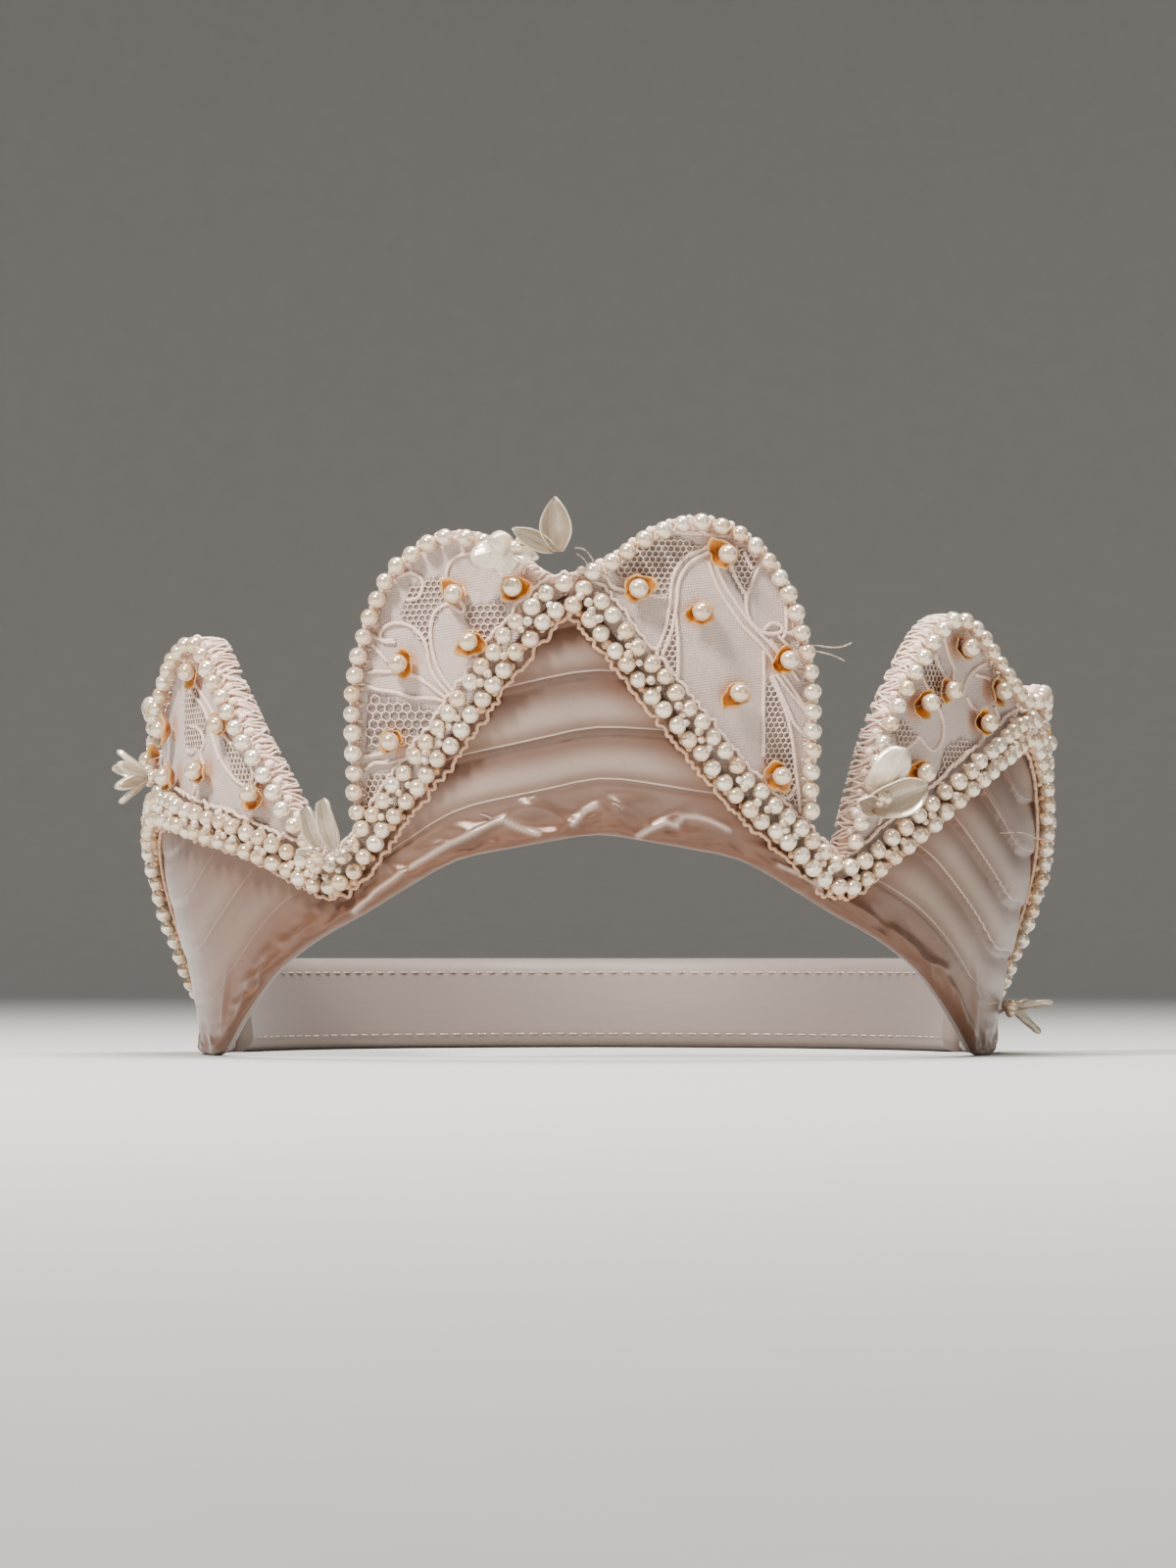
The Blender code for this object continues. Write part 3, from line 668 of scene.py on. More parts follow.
def satin_finish(looks):
    """Blush satin: a soft sheen, a fine cross weave, and pleat edges from the pleat attribute; the pleats,
    hem ridges, rope and hem get painted highlights and painted shade, and one brown stain.
    """
    material, tree, shader, place = new_finish("blush_satin")
    cloth = tree.stored("cloth_place", "Vector")
    pleat = tree.stored("pleat")
    shown = tree.stored("pleat_shown")
    weave = use_group(tree, shared_group("crossing_threads", weave_group),
                      {"Place": cloth, "Threads per metre": 5200.0, "Slant": 0.0})
    age = use_group(tree, shared_group("age_blotches", age_group), {"Place": place})
    phase = tree.math("FRACT", pleat)
    inner = tree.stored("inner")
    rope_hem_shade_and_stain = tree.stored("rope_hem_shade_and_stain")
    # Painted highlight along each pleat's fold edge, and painted shade just beneath it
    lip = tree.math("MULTIPLY", tree.span(phase, 0.0, 0.040, 1.0, 0.0), shown)
    under = tree.math("MULTIPLY", tree.span(phase, 0.80, 1.0), shown)
    base = tree.mix(age["Blotch"], looks.satin, tuple(c * 0.86 for c in looks.satin))
    # Painted sheen: lighter across the middle of each pleat
    painted_sheen = tree.math("MULTIPLY", tree.span(phase, 0.05, 0.30), tree.span(phase, 0.35, 0.75, 1.0, 0.0))
    painted_sheen = tree.math("MULTIPLY", painted_sheen, shown)
    base = tree.mix(tree.math("MULTIPLY", painted_sheen, 0.26), base, looks.satin_painted_highlight)
    base = tree.mix(tree.math("MULTIPLY", under, 0.55), base, looks.satin_shade)
    base = tree.mix(tree.math("MULTIPLY", lip, 0.90), base, looks.satin_painted_highlight)
    base = tree.mix(tree.math("MULTIPLY", age["Speck"], 0.25), base, looks.satin_shade)
    ridge = tree.stored("ridge")
    # Painted brown shade under the rope and along the hem, with one brown stain on the hem
    base = tree.mix(tree.math("MULTIPLY", rope_hem_shade_and_stain, 0.70), base, looks.satin_brown_shade_and_stain)
    # Painted highlight on the hem's pulled ridges
    base = tree.mix(tree.math("MULTIPLY", ridge, 0.55), base, looks.satin_painted_highlight)
    base = tree.mix(inner, base, looks.lining)
    streak = tree.noise(tree.add("ShaderNodeMapping", {
        "Vector": cloth, "Scale": (60.0, 900.0, 1.0)}).outputs[0], 1.0, 3.0)
    rough = tree.math("ADD", tree.span(streak, 0.2, 0.8, 0.27, 0.38), tree.math("MULTIPLY", inner, 0.3))
    height = tree.math("ADD", tree.math("MULTIPLY", weave["Height"], 0.10),
                       tree.math("MULTIPLY", streak, 0.35))
    height = tree.math("ADD", height, tree.math("MULTIPLY", lip, 1.6))
    settle(tree, shader, base, rough, height, 0.55, 0.00012)
    keep_constant(shader, {
        "Metallic": 0.25, "Sheen Weight": 0.22, "Sheen Roughness": 0.40,
        "Specular IOR Level": 0.60, "Subsurface Weight": 0.04,
        "Subsurface Radius": (0.002, 0.0014, 0.001)})
    return material


def lace_cloth_finish(looks):
    """The ground of the lobes: a fine slanted weave, with painted shade where the net lies open over it.
    """
    material, tree, shader, place = new_finish("lace_cloth")
    cloth = tree.stored("cloth_place", "Vector")
    net = tree.stored("open_net")
    stain = tree.stored("stain")
    rim = tree.stored("rim")
    inner = tree.stored("inner")
    weave = use_group(tree, shared_group("crossing_threads", weave_group),
                      {"Place": cloth, "Threads per metre": 1750.0, "Slant": math.radians(38.0)})
    age = use_group(tree, shared_group("age_blotches", age_group), {"Place": place})
    base = tree.mix(weave["Shade"], tuple(c * 0.66 for c in looks.lace), looks.lace)
    base = tree.mix(age["Blotch"], base, tuple(c * 0.90 for c in looks.lace))
    # Painted shade of the ground where the net lies open
    base = tree.mix(tree.math("MULTIPLY", net, 0.75), base, looks.lace_shade)
    base = tree.mix(tree.math("MULTIPLY", age["Speck"], 0.2), base, looks.lace_shade)
    base = tree.mix(tree.math("MULTIPLY", rim, 0.7), base, looks.cord_shade)
    base = tree.mix(tree.math("MULTIPLY", stain, 0.6), base, looks.amber)
    base = tree.mix(tree.math("MULTIPLY", inner, 0.85), base, looks.lining)
    settle(tree, shader, base, 0.72, weave["Height"], 0.7, 0.00016)
    keep_constant(shader, {
        "Sheen Weight": 0.25, "Subsurface Weight": 0.05,
        "Subsurface Radius": (0.002, 0.0014, 0.001)})
    return material


def thread_finish(name, light, shade, roughness=0.6):
    """Twisted cotton: a light thread with darker grooves and lint."""
    material, tree, shader, place = new_finish(name)
    twist = tree.noise(place, 2600.0, 2.0)
    broad = tree.noise(place, 160.0, 3.0)
    base = tree.mix(tree.span(twist, 0.3, 0.7), shade, light)
    base = tree.mix(tree.span(broad, 0.35, 0.75, 0.0, 0.35), base, shade)
    settle(tree, shader, base, roughness, twist, 0.6, 0.00008)
    keep_constant(shader, {"Sheen Weight": 0.2})
    return material


def pearl_finish(looks):
    """Nacre: a creamy coat over a warm body, each pearl with a tint of its own."""
    material, tree, shader, place = new_finish("faux_pearl")
    tint = tree.stored("tint")
    cloud = tree.noise(place, 420.0, 3.0)
    wear = tree.noise(place, 1500.0, 2.0, 0.7)
    base = tree.mix(tree.math("MULTIPLY", tint, 0.75), looks.pearl, looks.pearl_warm)
    base = tree.mix(tree.span(cloud, 0.45, 0.75, 0.0, 0.40), base, looks.pearl_light)
    base = tree.mix(tree.span(wear, 0.70, 0.84, 0.0, 0.55), base, looks.pearl_warm)
    rough = tree.span(wear, 0.45, 0.85, 0.14, 0.28)
    settle(tree, shader, base, rough, cloud, 0.06, 0.00003)
    keep_constant(shader, {
        "Metallic": 0.50, "Coat Weight": 1.0, "Coat Roughness": 0.06, "Specular IOR Level": 0.8})
    return material


def amber_finish(looks):
    """Aged gelatine sequins: glossy amber, burnt towards brown in blotches, with painted shadow darkening
    the heart beneath each pearl.
    """
    material, tree, shader, place = new_finish("aged_amber")
    burnt = tree.noise(place, 380.0, 4.0)
    fine = tree.noise(place, 1600.0, 2.0)
    far = tree.stored("from_heart")
    base = tree.mix(tree.span(burnt, 0.40, 0.68), looks.amber, looks.amber_burnt_and_shadow)
    # Painted shadow: darker towards the heart, beneath the pearl
    base = tree.mix(tree.span(far, 0.15, 0.55, 0.85, 0.0), base, looks.amber_burnt_and_shadow)
    base = tree.mix(tree.span(far, 0.72, 1.0, 0.0, 0.65), base, looks.amber_light)
    base = tree.mix(tree.span(fine, 0.60, 0.80, 0.0, 0.4), base, looks.amber_light)
    settle(tree, shader, base, tree.span(fine, 0.3, 0.8, 0.12, 0.30), burnt, 0.5, 0.0002)
    keep_constant(shader, {
        "Coat Weight": 0.8, "Coat Roughness": 0.08, "Subsurface Weight": 0.30,
        "Subsurface Radius": (0.0022, 0.0011, 0.0004), "Subsurface Scale": 1.0})
    return material


def wax_finish(looks):
    """Pearlised wax: smooth and yellowed, with veins along the petals, lighter rims, and painted shade at
    each petal's root.
    """
    material, tree, shader, place = new_finish("pearlised_wax")
    petal = tree.stored("petal_place", "Vector")
    split = tree.add("ShaderNodeSeparateXYZ", {"Vector": petal}).outputs
    veins = tree.math("SINE", tree.math("MULTIPLY", split["X"], 26.0))
    rim = tree.span(tree.math("ABSOLUTE", split["X"]), 0.72, 1.0)
    root = tree.span(split["Y"], 0.0, 0.45, 1.0, 0.0)
    cloud = tree.noise(place, 300.0, 4.0)
    base = tree.mix(tree.span(cloud, 0.35, 0.7), looks.wax, looks.wax_light)
    # Painted shade at each petal's root
    base = tree.mix(tree.math("MULTIPLY", root, 0.65), base, looks.wax_shade)
    base = tree.mix(tree.math("MULTIPLY", split["Z"], 0.85), base, looks.wax_shade)
    base = tree.mix(tree.math("MULTIPLY", rim, 0.65), base, looks.wax_light)
    height = tree.math("ADD", tree.math("MULTIPLY", veins, 0.35), cloud)
    settle(tree, shader, base, tree.span(cloud, 0.3, 0.8, 0.20, 0.36), height, 0.4, 0.00010)
    keep_constant(shader, {"Metallic": 0.25, "Coat Weight": 0.9, "Coat Roughness": 0.10})
    return material


def crystal_finish(looks):
    """Small glassy seed beads, warm from the thread inside."""
    material, tree, shader, place = new_finish("seed_bead")
    cloud = tree.noise(place, 1400.0, 2.0)
    tint = tree.stored("tint")
    clear = tree.mix(tree.span(cloud, 0.3, 0.7), looks.glass, looks.pearl_light)
    base = tree.mix(tint, looks.seed, clear)
    settle(tree, shader, base, 0.12, cloud, 0.2, 0.00005)
    keep_constant(shader, {
        "Coat Weight": 0.8, "Subsurface Weight": 0.3,
        "Subsurface Radius": (0.001, 0.0007, 0.0004), "Subsurface Scale": 1.0})
    return material


MAKERS = {
    "blush_satin": satin_finish,
    "lace_cloth": lace_cloth_finish,
    "lace_cord": lambda looks: thread_finish("lace_cord", looks.cord, looks.cord_shade),
    "lace_net": lambda looks: thread_finish("lace_net", looks.cord, looks.cord_shade),
    "rope_cord": lambda looks: thread_finish("rope_cord", looks.cord_shade, looks.seed, 0.5),
    "sewing_thread": lambda looks: thread_finish("sewing_thread", looks.cord_shade, looks.lace_shade),
    "faux_pearl": pearl_finish,
    "aged_amber": amber_finish,
    "pearlised_wax": wax_finish,
    "seed_bead": crystal_finish,
}


def finish_named(name):
    """A finish of the crown, made once."""
    return bpy.data.materials.get(name) or MAKERS[name](bpy.context.scene.crown_looks)


# Meshes


def mesh_piece(name, mesh, finish, nodes=()):
    """Puts a finished mesh in the scene, at the origin, riding on the crown."""
    mesh.name = name
    piece = bpy.data.objects.new(name, mesh)
    bpy.context.scene.collection.objects.link(piece)
    if finish is not None:
        mesh.materials.clear()
        mesh.materials.append(finish_named(finish))
    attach(piece, "root")
    if nodes:
        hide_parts(*nodes)
    return piece


def store_values(mesh, key, values):
    """Keeps a number or a vector for each corner of a mesh."""
    if isinstance(values[0], (int, float)):
        mesh.attributes.new(key, "FLOAT", "POINT").data.foreach_set("value", values)
    else:
        flat = [number for vector in values for number in vector]
        mesh.attributes.new(key, "FLOAT_VECTOR", "POINT").data.foreach_set("vector", flat)


def outwards(mesh):
    """Turns a closed mesh's faces outwards."""
    solid = bmesh.new()
    solid.from_mesh(mesh)
    bmesh.ops.recalc_face_normals(solid, faces=solid.faces[:])
    if solid.calc_volume(signed=True) < 0.0:
        bmesh.ops.reverse_faces(solid, faces=solid.faces[:])
    solid.to_mesh(mesh)
    solid.free()


def closed_mesh(name, corners, faces, values):
    """A smooth mesh that faces outwards and keeps named values for its corners."""
    mesh = bpy.data.meshes.new(name)
    mesh.from_pydata(corners, [], faces)
    for key, numbers in values.items():
        store_values(mesh, key, numbers)
    outwards(mesh)
    mesh.shade_smooth()
    return mesh


def wall_faces(columns, rows):
    """The faces of a closed wall whose corners run up its columns, first outside, then inside."""
    shell = (columns + 1) * (rows + 1)
    faces = []
    for column in range(columns):
        low, after = column * (rows + 1), (column + 1) * (rows + 1)
        for row in range(rows):
            a, b = low + row, after + row
            faces.append((a, b, b + 1, a + 1))
            faces.append((shell + a, shell + a + 1, shell + b + 1, shell + b))
        faces.append((low, shell + low, shell + after, after))
        faces.append((low + rows, after + rows, shell + after + rows, shell + low + rows))
    for row in range(rows):
        end = columns * (rows + 1) + row
        faces.append((row, row + 1, shell + row + 1, shell + row))
        faces.append((end, shell + end, shell + end + 1, end + 1))
    return faces


def thick_patch(name, shape, columns, rows):
    """A closed wall from shape(across, up, inner), which gives a point and named values."""
    corners, values = [], {}
    for inner in (0, 1):
        for column in range(columns + 1):
            for row in range(rows + 1):
                point, extra = shape(column / columns, row / rows, inner)
                corners.append(point)
                for key, value in extra.items():
                    values.setdefault(key, []).append(value)
    return closed_mesh(name, corners, wall_faces(columns, rows), values)


def edge_round(distance, radius):
    """How full a wall is at a distance from its edge, from nearly nothing at the edge to 1."""
    share = min(1.0, max(0.0, distance / radius))
    return math.sqrt(max(0.02, 1.0 - (1.0 - share) ** 2))


def to_flat(angle, height):
    flat = unrolled(angle, height)
    return flat.x, flat.y, 0.0


# Geometry Nodes


def growing_tree(name, inputs, build):
    """A Geometry Nodes tree, made once, whose shape comes from build(tree, given)."""
    if name in bpy.data.node_groups:
        return bpy.data.node_groups[name]
    group = bpy.data.node_groups.new(name, "GeometryNodeTree")
    for label, kind in (("Geometry", "Geometry"), *inputs, ("Finish", "Material")):
        group.interface.new_socket(label, in_out="INPUT", socket_type="NodeSocket" + kind)
    group.interface.new_socket("Geometry", in_out="OUTPUT", socket_type="NodeSocketGeometry")
    tree = Tree(group)
    given = tree.add("NodeGroupInput").outputs
    shape = build(tree, given)
    real = tree.add("GeometryNodeRealizeInstances", {"Geometry": shape}).outputs["Geometry"]
    smooth = tree.add("GeometryNodeSetShadeSmooth", {"Geometry": real}).outputs["Geometry"]
    done = tree.add("GeometryNodeSetMaterial", {
        "Geometry": smooth, "Material": given["Finish"]}).outputs["Geometry"]
    tree.add("NodeGroupOutput", {"Geometry": done})
    return group


def round_threads(tree, given):
    """Edges become round threads with a radius and a number of sides."""
    route = tree.add("GeometryNodeMeshToCurve", {"Mesh": given["Geometry"]}).outputs["Curve"]
    section = tree.add("GeometryNodeCurvePrimitiveCircle", {
        "Resolution": given["Sides"], "Radius": given["Radius"]}).outputs["Curve"]
    return tree.add("GeometryNodeCurveToMesh", {
        "Curve": route, "Profile Curve": section, "Fill Caps": True}).outputs["Mesh"]


def round_beads(tree, given):
    """Points become round beads with each point's own radii and turn."""
    ball = tree.add("GeometryNodeMeshUVSphere", {
        "Segments": given["Segments"], "Rings": given["Rings"], "Radius": 1.0}).outputs["Mesh"]
    radius, turn = (tree.add("GeometryNodeInputNamedAttribute", {"Name": key},
                             data_type="FLOAT_VECTOR").outputs["Attribute"] for key in ("radius", "turn"))
    return tree.add("GeometryNodeInstanceOnPoints", {
        "Points": given["Geometry"], "Instance": ball, "Scale": radius, "Rotation": turn,
    }).outputs["Instances"]


def grown(name, source, group, settings):
    """The plain mesh that a Geometry Nodes tree makes from a source mesh."""
    holder = bpy.data.objects.new(name + "_source", source)
    bpy.context.scene.collection.objects.link(holder)
    modifier = holder.modifiers.new("grow", "NODES")
    modifier.node_group = group
    for item in group.interface.items_tree:
        if item.item_type == "SOCKET" and item.in_out == "INPUT" and item.name in settings:
            modifier[item.identifier] = settings[item.name]
    depsgraph = bpy.context.evaluated_depsgraph_get()
    mesh = bpy.data.meshes.new_from_object(holder.evaluated_get(depsgraph), depsgraph=depsgraph)
    bpy.data.objects.remove(holder, do_unlink=True)
    return mesh


def threads_piece(name, routes, radius, sides, finish, nodes=()):
    """One piece of round threads along solid routes."""
    corners, edges = [], []
    for route in routes:
        first = len(corners)
        corners.extend(route)
        edges.extend((first + step, first + step + 1) for step in range(len(route) - 1))
    source = bpy.data.meshes.new(name + "_routes")
    source.from_pydata(corners, edges, [])
    group = growing_tree("round_threads", (("Radius", "Float"), ("Sides", "Int")), round_threads)
    mesh = grown(name, source, group,
                 {"Radius": radius, "Sides": sides, "Finish": finish_named(finish)})
    return mesh_piece(name, mesh, None, nodes)


def beads_piece(name, beads, segments, rings, finish, nodes=()):
    """One piece of beads, each a place, a radius in three directions, a turn and a tint."""
    source = bpy.data.meshes.new(name + "_points")
    source.from_pydata([bead[0] for bead in beads], [], [])
    for column, key in enumerate(("radius", "turn", "tint"), start=1):
        store_values(source, key, [bead[column] for bead in beads])
    group = growing_tree("round_beads", (("Segments", "Int"), ("Rings", "Int")), round_beads)
    mesh = grown(name, source, group,
                 {"Segments": segments, "Rings": rings, "Finish": finish_named(finish)})
    return mesh_piece(name, mesh, None, nodes)


# Satin


def pleat_form(angle, height, sizes):
    """The pleats' relief, their phase for the finish, and how much they show there."""
    foot, top = foot_height(angle), joint_height(angle)
    above = height - foot
    drift = 0.0006 * noise.noise(Vector((angle / 14.0, above / 0.012, 2.0)))
    slant = 0.00006 * angle if abs(angle) < 40.0 else 0.0
    phase = (above + drift - slant) / sizes.pleat_pitch
    shown = smooth_step((phase - first_pleat) / 0.12)
    side = smooth_step((abs(angle) - 96.0) / -10.0)
    panel = 0.25 if angle < -40.0 else 0.75 if angle > 40.0 else 1.0
    shown *= side * panel
    share = phase % 1.0
    step = smooth_step((share - 0.93) / 0.07)
    relief = -sizes.pleat_depth * (share ** 1.4) * (1.0 - step)
    swell = 0.00030 * math.sin(math.pi * share)
    under_rope = smooth_step((top - height - 0.001) / 0.004)
    return (relief * shown + swell * shown) * under_rope, phase, shown


def hem_relief(angle, height):
    """Gathers and short pulled folds along the satin's lower edge."""
    above = height - foot_height(angle)
    fade = smooth_step((0.0075 - above) / 0.0075) * smooth_step(above / 0.0012)
    flat = unrolled(angle, height)
    along = noise.noise(Vector((flat.x / 0.0060, above / 0.0030, 0.0)))
    fine = noise.noise(Vector((flat.x / 0.0024 + above / 0.002, above / 0.0022, 5.0)))
    relief = (0.00085 * along + 0.00034 * fine) * fade
    for fold_angle, fold_above, length, slant in HEM_FOLDS:
        middle = unrolled(fold_angle, foot_height(fold_angle) + fold_above)
        turn = math.radians(slant)
        offset = flat - middle
        lengthways = offset.x * math.cos(turn) + offset.y * math.sin(turn)
        across = -offset.x * math.sin(turn) + offset.y * math.cos(turn)
        if abs(lengthways) < length and abs(across) < 0.004:
            fall = math.cos(math.pi * lengthways / (2.0 * length)) ** 2
            relief += fold_rise * fall * math.exp(-(across / fold_width) ** 2)
    return relief


def panel_swell(angle, height):
    """Broad unevenness of the stiffened cloth."""
    flat = unrolled(angle, height)
    return 0.00045 * noise.noise(Vector((flat.x / 0.022, flat.y / 0.018, 9.0)))


def band_gather(angle, height):
    """Soft gathers of the satin round the back band, pulled in along its two seams."""
    flat = unrolled(angle, height)
    fine = noise.noise(Vector((flat.x / 0.0030, flat.y / 0.012, 4.0)))
    broad = noise.noise(Vector((flat.x / 0.015, flat.y / 0.02, 6.0)))
    seam = sum(math.exp(-((height - line) / 0.0007) ** 2) for line in BAND_SEAMS)
    return 0.00034 * fine + 0.00040 * broad - 0.00045 * seam


def plain_satin(angle, height, inner):
    """The finish's values where the satin has neither pleats nor stains."""
    return {"pleat": 0.0, "pleat_shown": 0.0, "rope_hem_shade_and_stain": 0.0, "inner": inner,
            "cloth_place": to_flat(angle, height)}


def stitches_along(route, out_at, proud):
    """Short running stitches along a flat route; out_at gives the cloth's face there."""
    count = max(1, round(route_length(route) / stitch_pitch))
    points = evenly(route, 5 * count)
    stitches = []
    for first in range(0, len(points) - 3, 5):
        stitch = []
        for step, lift in enumerate((-0.4, 1.0, 1.0, -0.4)):
            angle, height = rolled(points[first + step])
            stitch.append(ring_point(angle, height, out_at(angle, height) + proud * lift))
        stitches.append(rounded_route(stitch, 2))
    return stitches


def distance_to_route(point, route):
    """The least distance from a flat point to a flat route."""
    least = 1.0
    for first, second in zip(route, route[1:]):
        way = second - first
        share = min(1.0, max(0.0, (point - first).dot(way) / way.length_squared))
        least = min(least, (point - first - way * share).length)
    return least


def hem_marks(flat, ridges, pillows):
    """How strongly a place of the hem lies on a pulled ridge, and how far a pillow lifts it."""
    ridge = max(math.exp(-(distance_to_route(flat, route) / ridge_width) ** 2) for route in ridges)
    lift = 0.0
    for middle, wide, high in pillows:
        offset = flat - middle
        lift = max(lift, smooth_step(1.0 - math.hypot(offset.x / wide, offset.y / high)))
    return ridge, lift


class CROWN_OT_satin(bpy.types.Operator):
    """Makes the pleated front band and the plain band behind"""

    bl_idname = "crown.satin"
    bl_label = "Satin bands"

    def execute(self, context):
        sizes = context.scene.crown_sizes
        arm_columns, rows = 72, 100
        columns = (len(CORNER_ANGLES) - 1) * arm_columns
        angles = [first + (second - first) * step / arm_columns
                  for first, second in zip(CORNER_ANGLES, CORNER_ANGLES[1:])
                  for step in range(arm_columns)] + [CORNER_ANGLES[-1]]

        stain = unrolled(*photo_place(*HEM_STAIN))
        ridges = [[unrolled(*photo_place(*pixel)) for pixel in route] for route in HEM_RIDGES]
        pillows = [(unrolled(*photo_place(across, down)), wide, high)
                   for across, down, wide, high in HEM_PILLOWS]

        def front(across, up, inner):
            angle = angles[round(across * columns)]
            foot, top = foot_height(angle), joint_height(angle)
            share = 0.5 - 0.5 * math.cos(math.pi * up)
            height = foot + (top - foot) * share
            rim = min(height - foot, top - height)
            full = edge_round(rim, satin_rim)
            relief, phase, shown, ridge = 0.0, 0.0, 0.0, 0.0
            if not inner:
                relief, phase, shown = pleat_form(angle, height, sizes)
                relief += hem_relief(angle, height)
                if height - foot < hem_depth:
                    ridge, lift = hem_marks(unrolled(angle, height), ridges, pillows)
                    relief += ridge_rise * ridge + pillow_rise * lift
            relief += panel_swell(angle, height) * smooth_step(rim / 0.004)
            half = satin_thickness / 2.0
            out = relief - half + (-half if inner else half) * full
            # Painted brown shade under the rope and along the hem, wider on the left panel; the spot below
            # it is a brown stain
            rope_hem_shade_and_stain = smooth_step(1.0 - (top - height - 0.0030) / 0.0130) ** 1.3
            hem_reach = 0.0085 + 0.0090 * smooth_step((-35.0 - angle) / 15.0)
            rope_hem_shade_and_stain = max(rope_hem_shade_and_stain, smooth_step(1.0 - (height - foot) / hem_reach))
            spot = (unrolled(angle, height) - stain).length
            rope_hem_shade_and_stain = max(rope_hem_shade_and_stain, 0.9 * smooth_step(1.0 - spot / stain_radius))
            return ring_point(angle, height, out), {
                "pleat": phase, "pleat_shown": shown, "inner": float(inner),
                "rope_hem_shade_and_stain": rope_hem_shade_and_stain, "ridge": ridge, "cloth_place": to_flat(angle, height)}

        mesh_piece("satin_front", thick_patch("satin_front", front, columns, rows),
                             "blush_satin", ["satin_band_front"])

        start, end = CORNER_ANGLES[-1] + band_gap, 360.0 + CORNER_ANGLES[0] - band_gap

        def back(across, up, inner):
            angle = start + (end - start) * across
            share = 0.5 - 0.5 * math.cos(math.pi * up)
            height = back_band_height * share
            full = edge_round(min(height, back_band_height - height), back_band_rim)
            gather = 0.0 if inner else band_gather(angle, height)
            ends = smooth_step(min(across, 1.0 - across) / 0.02)
            half = back_band_thickness / 2.0
            out = gather * full * ends - half + (-half if inner else half) * full
            return ring_point(angle, height, out), plain_satin(angle, height, float(inner))

        mesh_piece("satin_back", thick_patch("satin_back", back, 220, 26), "blush_satin",
                             ["satin_band_back"])

        def tape(across, up, inner):
            angle = (CORNER_ANGLES[0] + 0.6) + (CORNER_ANGLES[-1] - CORNER_ANGLES[0] - 1.2) * across
            height = joint_height(angle) + (up - 0.5) * tape_width
            face = -satin_thickness - (lobe_thickness - satin_thickness) * smooth_step(up / 0.6)
            edge = edge_round(min(up, 1.0 - up), 0.08)
            wrinkle = 0.00012 * noise.noise(Vector((across * 180.0, up * 3.0, 2.0)))
            out = face + (0.0002 if not inner else -0.00010 - 0.00032 * edge + wrinkle)
            return ring_point(angle, height, out), plain_satin(angle, height, 0.45)

        mesh_piece("seam_tape", thick_patch("seam_tape", tape, 420, 10), "blush_satin")
        return {"FINISHED"}


# Lace


def lobe_wall(lobe, patches):
    """A lobe's padded wall: slightly dished, rounded over its rim, with the wrap's lumps on the rim."""
    valley, peak = LOBES[lobe][:2]
    start, end = CORNER_ANGLES[valley], CORNER_ANGLES[peak]
    columns, rows = 132, 46
    outline = evenly(outline_points(lobe), columns)
    sewn = [unrolled(*place_of_node(name)) for name in sewn_names()]

    def shape(across, up, inner):
        angle = start + (end - start) * across
        low = unrolled(angle, joint_height(angle))
        high = outline[round(across * columns)].copy()
        high.y = max(high.y, low.y + 0.0006)
        share = 1.0 - (1.0 - up) ** 1.6
        flat = low.lerp(high, share)
        rim = (high - flat).length
        full = edge_round(rim, lobe_rim)
        lump = noise.noise(Vector((flat.x / 0.0011, flat.y / 0.0011, 3.0 + inner)))
        lump *= 0.00045 * smooth_step((0.0030 - rim) / 0.0022)
        dish = -0.0005 * smooth_step(rim / 0.008) * smooth_step(across / 0.1) if not inner else 0.0
        swell = 0.00020 * noise.noise(Vector((flat.x / 0.006, flat.y / 0.006, 7.0)))
        half = lobe_thickness / 2.0
        out = (lump + dish + swell) * (-1.0 if inner else 1.0) - half + (-half if inner else half) * full
        angle, height = rolled(flat)
        open_net = 0.0 if inner else float(any(inside(patch, flat) for patch in patches))
        near = min((flat - spot).length for spot in sewn)
        near += 0.0005 * noise.noise(Vector((flat.x / 0.0012, flat.y / 0.0012, 8.0)))
        return ring_point(angle, height, out), {
            "open_net": open_net, "cloth_place": (flat.x, flat.y, 0.0), "inner": float(inner),
            "stain": (1.0 - inner) * smooth_step((0.0030 - near) / 0.0016),
            "rim": smooth_step((0.0024 - rim) / 0.0012)}

    return thick_patch("lobe", shape, columns, rows)


def lace_points(lobe, lender, sheet, points):
    """Points of the lace on the flat cloth, fitted to a lobe that borrows them."""
    flat = [from_enlargement(sheet, point) for point in points]
    if lender != lobe:
        flat = [from_lobe_shares(lobe, lobe_shares(lender, point)) for point in flat]
    return flat


def patches_of(lobe):
    """The lobe's open net patches on the flat cloth, with their pitches."""
    lender = dict(LENT_LACE).get(lobe, lobe)
    return [(lace_points(lobe, lender, sheet, corners), pitch)
            for owner, sheet, corners, pitch in NET_PATCHES if owner == lender]


def face_out(rim):
    """How far out the lobe's face lies, away from its rim."""
    return -0.0005 * smooth_step(rim / 0.008)


def rim_distance(outline, flat):
    return min((point - flat).length for point in outline)


